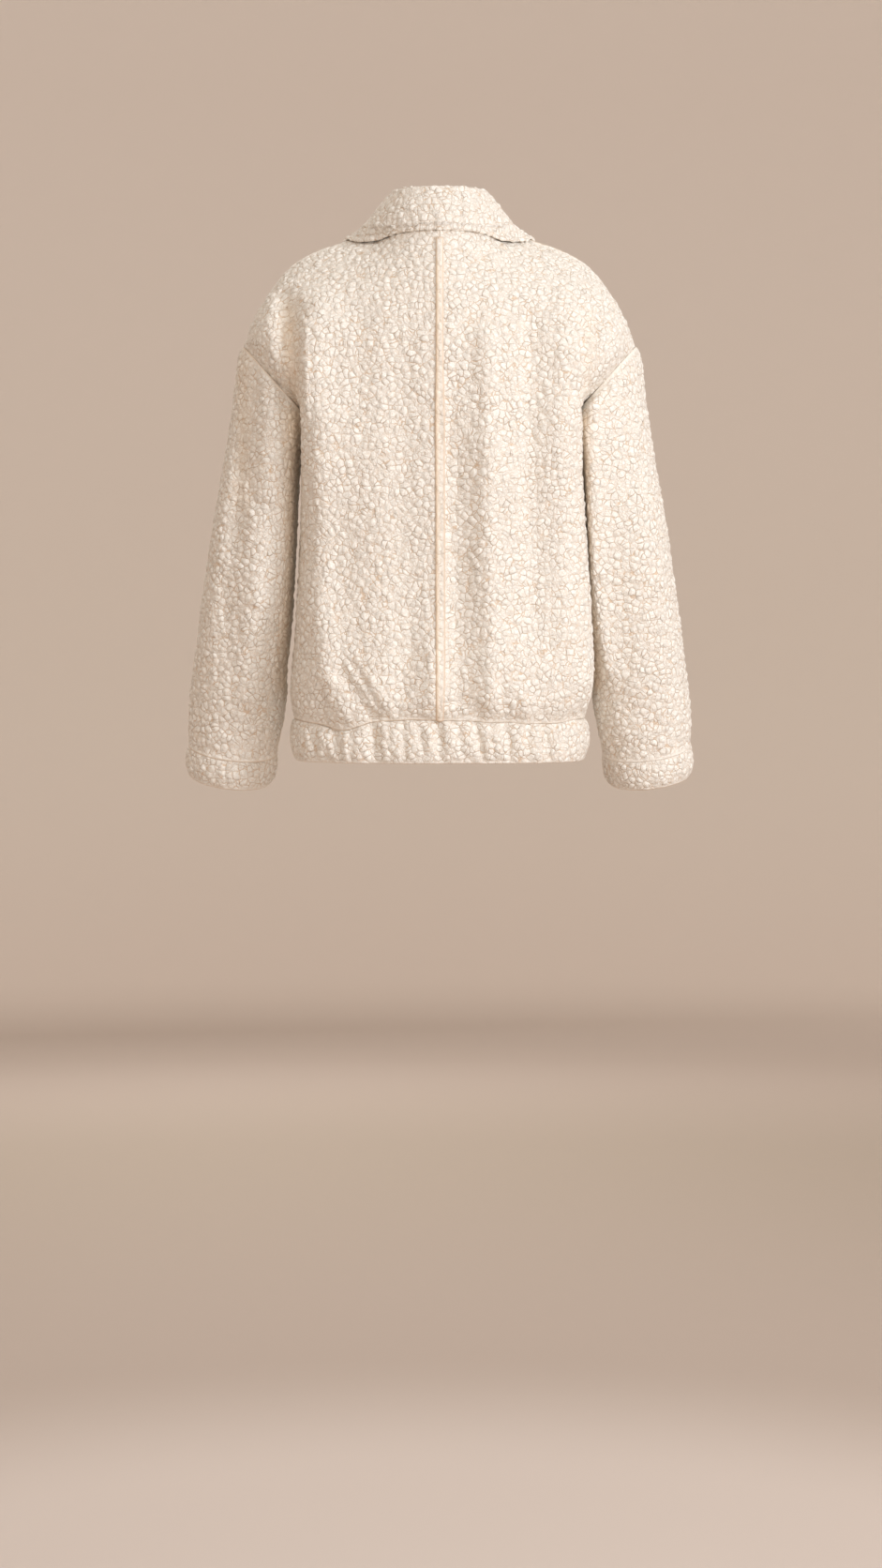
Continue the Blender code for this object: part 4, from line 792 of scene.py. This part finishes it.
def dress(piece, spec):
    selectOnly(piece)
    keeper = piece.modifiers.new("relief", "NODES")
    keeper.node_group = relief
    bpy.ops.object.modifier_apply(modifier=keeper.name)
    mesh = piece.data
    points = getPoints(mesh)
    height = np.empty(len(points), dtype=np.float32)
    mesh.attributes["curlHeight"].data.foreach_get("value", height)
    onPile = np.empty(len(mesh.polygons), dtype=np.int32)
    mesh.attributes["pileSide"].data.foreach_get("value", onPile)
    onPile = onPile.astype(float)
    normals, touched, border = pileNormals(mesh, len(points), onPile)
    inner, _, _ = pileNormals(mesh, len(points), 1 - onPile)
    if not border.any():
        border = creasedPoints(mesh, len(points))
    away = np.full(len(points), 1.0)
    if border.any():
        seam = KDTree(int(border.sum()))
        for k in np.nonzero(border)[0]:
            seam.insert(points[k], int(k))
        seam.balance()
        away = np.array([seam.find(point)[2] for point in points])
    # the inner side goes with the pile side, so that the cloth keeps its thickness
    facing = np.where(touched[:, None], normals, -inner)
    reach = np.where(touched, away, np.sqrt(np.maximum(away ** 2 - weave["wall"] ** 2, 0.0)))
    near = ease(0.0, weave["seamReach"], reach)
    share = spec.get("pile", 1.0)
    lay = share * (weave["seamPile"] + (1 - weave["seamPile"]) * near[touched])
    if "rim" in spec:
        lay = np.full(len(lay), share)
    lift = (height[touched] * lay - 0.5 * share * near[touched]) * weave["pile"]
    if "rim" in spec:
        rim = spec["rim"]
        fold = np.exp(-(away[touched] - rim["inset"]) ** 2 / (2 * rim["width"] ** 2))
        lift -= (points[touched, 2] < rim["below"]) * rim["depth"] * fold
    rest = points.copy()
    # creases go in and out along Y, so that the outline seen from behind stays; the pile stands on the cloth
    if "shape" in spec:
        left = weave["seamCrease"]
        points[:, 1] += spec["shape"](points, facing) * (left + (1 - left) * near)
    if "closer" in spec:
        closer = creaseField(rest, ease(*sleeveDepth["closer"], rest[:, 1]), spec["closer"])
        points[:, 0] -= np.sign(rest[:, 0]) * near * closer
    points[touched] += normals[touched] * lift[:, None]
    setPoints(mesh, points)
    whole = np.ones(len(points), dtype=np.float32)
    whole[touched] = lay
    mesh.attributes.new("pileLay", "FLOAT", "POINT").data.foreach_set("value", whole)
    # painted shade along the seams, fading out over seamWidth
    line = np.zeros(len(points), dtype=np.float32)
    tone = spec.get("seamPaintedShade", weave["seamPaintedShade"])
    width = spec.get("seamWidth", weave["seamWidth"])
    line[touched] = tone * (1 - ease(weave["seamStart"], width, away[touched]))
    mesh.attributes.new("paintedSeamShade", "FLOAT", "POINT").data.foreach_set("value", line)
    # painted warm light along the listed folds
    if "paintedGlow" in spec:
        paintedGlow = (creaseField(rest, backward(facing), spec["paintedGlow"]) / mm).clip(0.0, 1.0).astype(np.float32)
        mesh.attributes.new("paintedFoldGlow", "FLOAT", "POINT").data.foreach_set("value", paintedGlow)
    mesh.materials.append(materials["fleece"])
    mesh.materials.append(materials["backing"])
    mesh.polygons.foreach_set("material_index", (onPile < 0.5).astype(np.int32))
    mesh.attributes.remove(mesh.attributes["pileSide"])
    mesh.attributes.remove(mesh.attributes["curlHeight"])
    mesh.polygons.foreach_set("use_smooth", np.ones(len(mesh.polygons), dtype=bool))
    mesh.update()


# Each piece of cloth: the solid that it replaces, its cut in metres, how it is held, and the angle in degrees
# at which its sides part from its rims. With "whole" it has pile on both sides, "pile" is the share of the
# pile's height, "rim" the stitched groove along a turned edge, and "lay" how a leaf's edge is laid down.
cloth = {
    "backLeft": {"node": "back_left", "flat": (0.28, 0.66), "area": 0.168, "held": "hung", "corner": 60,
                 "shape": backShape, "paintedGlow": backPaintedGlow},
    "backRight": {"node": "back_right", "flat": (0.28, 0.66), "area": 0.168, "held": "hung", "corner": 60,
                  "shape": backShape, "paintedGlow": backPaintedGlow, "seamPaintedShade": 0.25},
    "frontLeft": {"node": "front_left", "flat": (0.28, 0.64), "area": 0.162, "held": "hung", "corner": 60,
                  "shape": frontShape, "longest": 4.2 * mm},
    "frontRight": {"node": "front_right", "flat": (0.28, 0.64), "area": 0.162, "held": "hung", "corner": 60,
                   "shape": frontShape, "longest": 4.2 * mm},
    "sleeveLeft": {"node": "sleeve_left", "flat": (0.42, 0.52), "area": 0.176, "held": "hung", "corner": 60,
                   "shape": sleeveLeftShape, "closer": sleeveCloser, "paintedGlow": sleevePaintedGlow},
    "sleeveRight": {"node": "sleeve_right", "flat": (0.42, 0.52), "area": 0.176, "held": "hung", "corner": 60,
                    "shape": sleeveRightShape, "closer": sleeveCloser, "paintedGlow": sleevePaintedGlow,
                    "seamPaintedShade": 0.2},
    "collarTurned": {"node": "collar", "flat": (0.50, 0.14), "area": 0.064, "held": "folded", "corner": 75,
                     "whole": True, "seamPaintedShade": 0.0,
                     "rim": {"inset": 7.0 * mm, "width": 1.3 * mm, "depth": 1.5 * mm, "below": 0.022},
                     "lay": {"reach": 30 * mm, "join": 7 * mm, "gap": 1.5 * mm, "most": 9 * mm,
                             "below": 0.016, "from": -0.045, "drop": 0.75}},
    "cuffLeft": {"node": "cuff_left", "flat": (0.36, 0.045), "area": 0.0155, "held": "hung", "corner": 75},
    "cuffRight": {"node": "cuff_right", "flat": (0.36, 0.045), "area": 0.0155, "held": "hung", "corner": 75},
    "bandBack": {"node": "hem_band_back", "flat": (0.52, 0.06), "area": 0.031, "held": "gathered",
                 "corner": 70, "shape": crimpField},
    "bandFrontLeft": {"node": "hem_band_front_left", "flat": (0.26, 0.06), "area": 0.0155, "held": "hung",
                      "corner": 70},
    "bandFrontRight": {"node": "hem_band_front_right", "flat": (0.26, 0.06), "area": 0.0155, "held": "hung",
                       "corner": 70},
    "seamStrip": {"node": "back_seam_strip", "flat": (0.012, 0.60), "area": 0.0070, "held": "hung",
                  "corner": 75, "whole": True, "pile": 0.8, "seamPaintedShade": 0.7, "seamWidth": 5 * mm,
                  "shape": stripShape, "paintedGlow": stripPaintedGlow},
}


def buildCloth():
    total = 0
    for name, spec in cloth.items():
        piece = copyForm(spec["node"], name)
        markSides(piece, spec["corner"], spec.get("whole", False))
        smoothForm(piece)
        refine(piece, spec.get("longest", weave["longest"]))
        if "lay" in spec:
            layEdge(piece, spec["lay"], [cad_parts[under] for under in
                                         ("back_left", "back_right", "front_left", "front_right")])
        dress(piece, spec)
        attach(piece, "root")
        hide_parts(spec["node"])
        triangles = sum(len(polygon.vertices) - 2 for polygon in piece.data.polygons)
        total += triangles
        print("cloth made:", name, triangles)
    print("cloth in all:", total)


button = {
    "radius": 10.8 * mm,
    "thick": 3.6 * mm,
    "rim": 2.2 * mm,
    "slope": 0.9 * mm,         # from the rim down to the dish, which sinks once more in its middle
    "dish": 0.9 * mm,
    "well": 3 * mm,
    "wellDip": 0.2 * mm,
    "rounding": 0.7 * mm,
    "corner": 35,              # degrees from which an edge is rounded or stays sharp
    "holeRadius": 1.1 * mm,
    "holeReach": 2.4 * mm,
    "nodes": ("button_1", "button_2", "button_3", "button_4", "button_5"),
}


def modelButton():
    # a round button with a raised rim, a dished middle and four holes, lying in the plane of X and Y
    bpy.ops.object.select_all(action="DESELECT")
    bpy.ops.mesh.primitive_cylinder_add(vertices=48, radius=button["radius"], depth=button["thick"])
    disc = bpy.context.object
    disc.name = "buttonModel"
    bpy.ops.object.mode_set(mode="EDIT")
    bpy.ops.mesh.select_mode(type="FACE")
    work = bmesh.from_edit_mesh(disc.data)
    for face in work.faces:
        face.select_set(face.normal.z > 0.9)
    bmesh.update_edit_mesh(disc.data)
    bpy.ops.mesh.inset(thickness=button["rim"])
    bpy.ops.mesh.inset(thickness=button["slope"])
    bpy.ops.transform.translate(value=(0, 0, -button["dish"]))
    bpy.ops.mesh.inset(thickness=button["well"])
    bpy.ops.transform.translate(value=(0, 0, -button["wellDip"]))
    bpy.ops.object.mode_set(mode="OBJECT")
    rounding = disc.modifiers.new("rounding", "BEVEL")
    rounding.width = button["rounding"]
    rounding.segments = 3
    rounding.limit_method = "ANGLE"
    rounding.angle_limit = math.radians(button["corner"])
    bpy.ops.object.modifier_apply(modifier=rounding.name)
    for k in range(4):
        angle = math.pi / 4 + k * math.pi / 2
        bpy.ops.mesh.primitive_cylinder_add(
            vertices=16, radius=button["holeRadius"], depth=4 * button["thick"],
            location=(button["holeReach"] * math.cos(angle), button["holeReach"] * math.sin(angle), 0))
        drill = bpy.context.object
        selectOnly(disc)
        cut = disc.modifiers.new("hole", "BOOLEAN")
        cut.object = drill
        cut.operation = "DIFFERENCE"
        bpy.ops.object.modifier_apply(modifier=cut.name)
        bpy.data.objects.remove(drill)
    bpy.ops.object.shade_smooth_by_angle(angle=math.radians(button["corner"]))
    disc.data.materials.clear()
    disc.data.materials.append(materials["horn"])
    return disc


sewing = {
    "radius": 0.30 * mm,
    "apart": 0.35 * mm,        # each bar is two threads, this far to either side of its middle
    "flat": 0.42,              # how high a bar stands beside its length
}


def modelStitches():
    # two bars of thread through the holes, lying on the button's dished middle
    bars = []
    for side in (-1, 1):
        reach = button["holeReach"] * math.sqrt(0.5)
        for lie in (-sewing["apart"], sewing["apart"]):
            bpy.ops.mesh.primitive_torus_add(
                major_radius=reach, minor_radius=sewing["radius"], major_segments=24, minor_segments=8,
                location=(side * reach + lie, 0, 0), rotation=(math.pi / 2, 0, math.pi / 2))
            bar = bpy.context.object
            bpy.ops.transform.resize(value=(1, 1, sewing["flat"]))
            bars.append(bar)
    bpy.ops.object.select_all(action="DESELECT")
    for bar in bars:
        bar.select_set(True)
    bpy.context.view_layer.objects.active = bars[0]
    bpy.ops.object.join()
    stitches = bpy.context.object
    stitches.name = "stitchModel"
    bpy.ops.object.transform_apply(location=True, rotation=True, scale=True)
    bpy.ops.object.shade_smooth()
    stitches.data.materials.clear()
    stitches.data.materials.append(materials["thread"])
    floor = button["thick"] / 2 - button["dish"] - button["wellDip"]
    stitches.data.transform(Matrix.Translation((0, 0, floor)))
    return stitches


def buildButtons():
    models = {"button": modelButton(), "stitches": modelStitches()}
    for k, node in enumerate(button["nodes"], 1):
        points = getPoints(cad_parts[node].data)
        middle = (points.min(axis=0) + points.max(axis=0)) / 2
        _, _, ways = np.linalg.svd(points - points.mean(axis=0), full_matrices=False)
        out = Vector(ways[2])
        if out.y > 0:
            out.negate()
        turn = out.to_track_quat("Z", "Y").to_matrix().to_4x4()
        place = Matrix.Translation(Vector(middle)) @ turn
        for part, model in models.items():
            piece = bpy.data.objects.new("%s%d" % (part, k), model.data.copy())
            piece.data.transform(place)
            scene.collection.objects.link(piece)
            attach(piece, "root")
            if part == "button":
                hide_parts(node)
    for model in models.values():
        bpy.data.objects.remove(model)
    print("buttons made")


buildCamera()
buildStudio()
print("studio made")
buildCloth()
buildButtons()
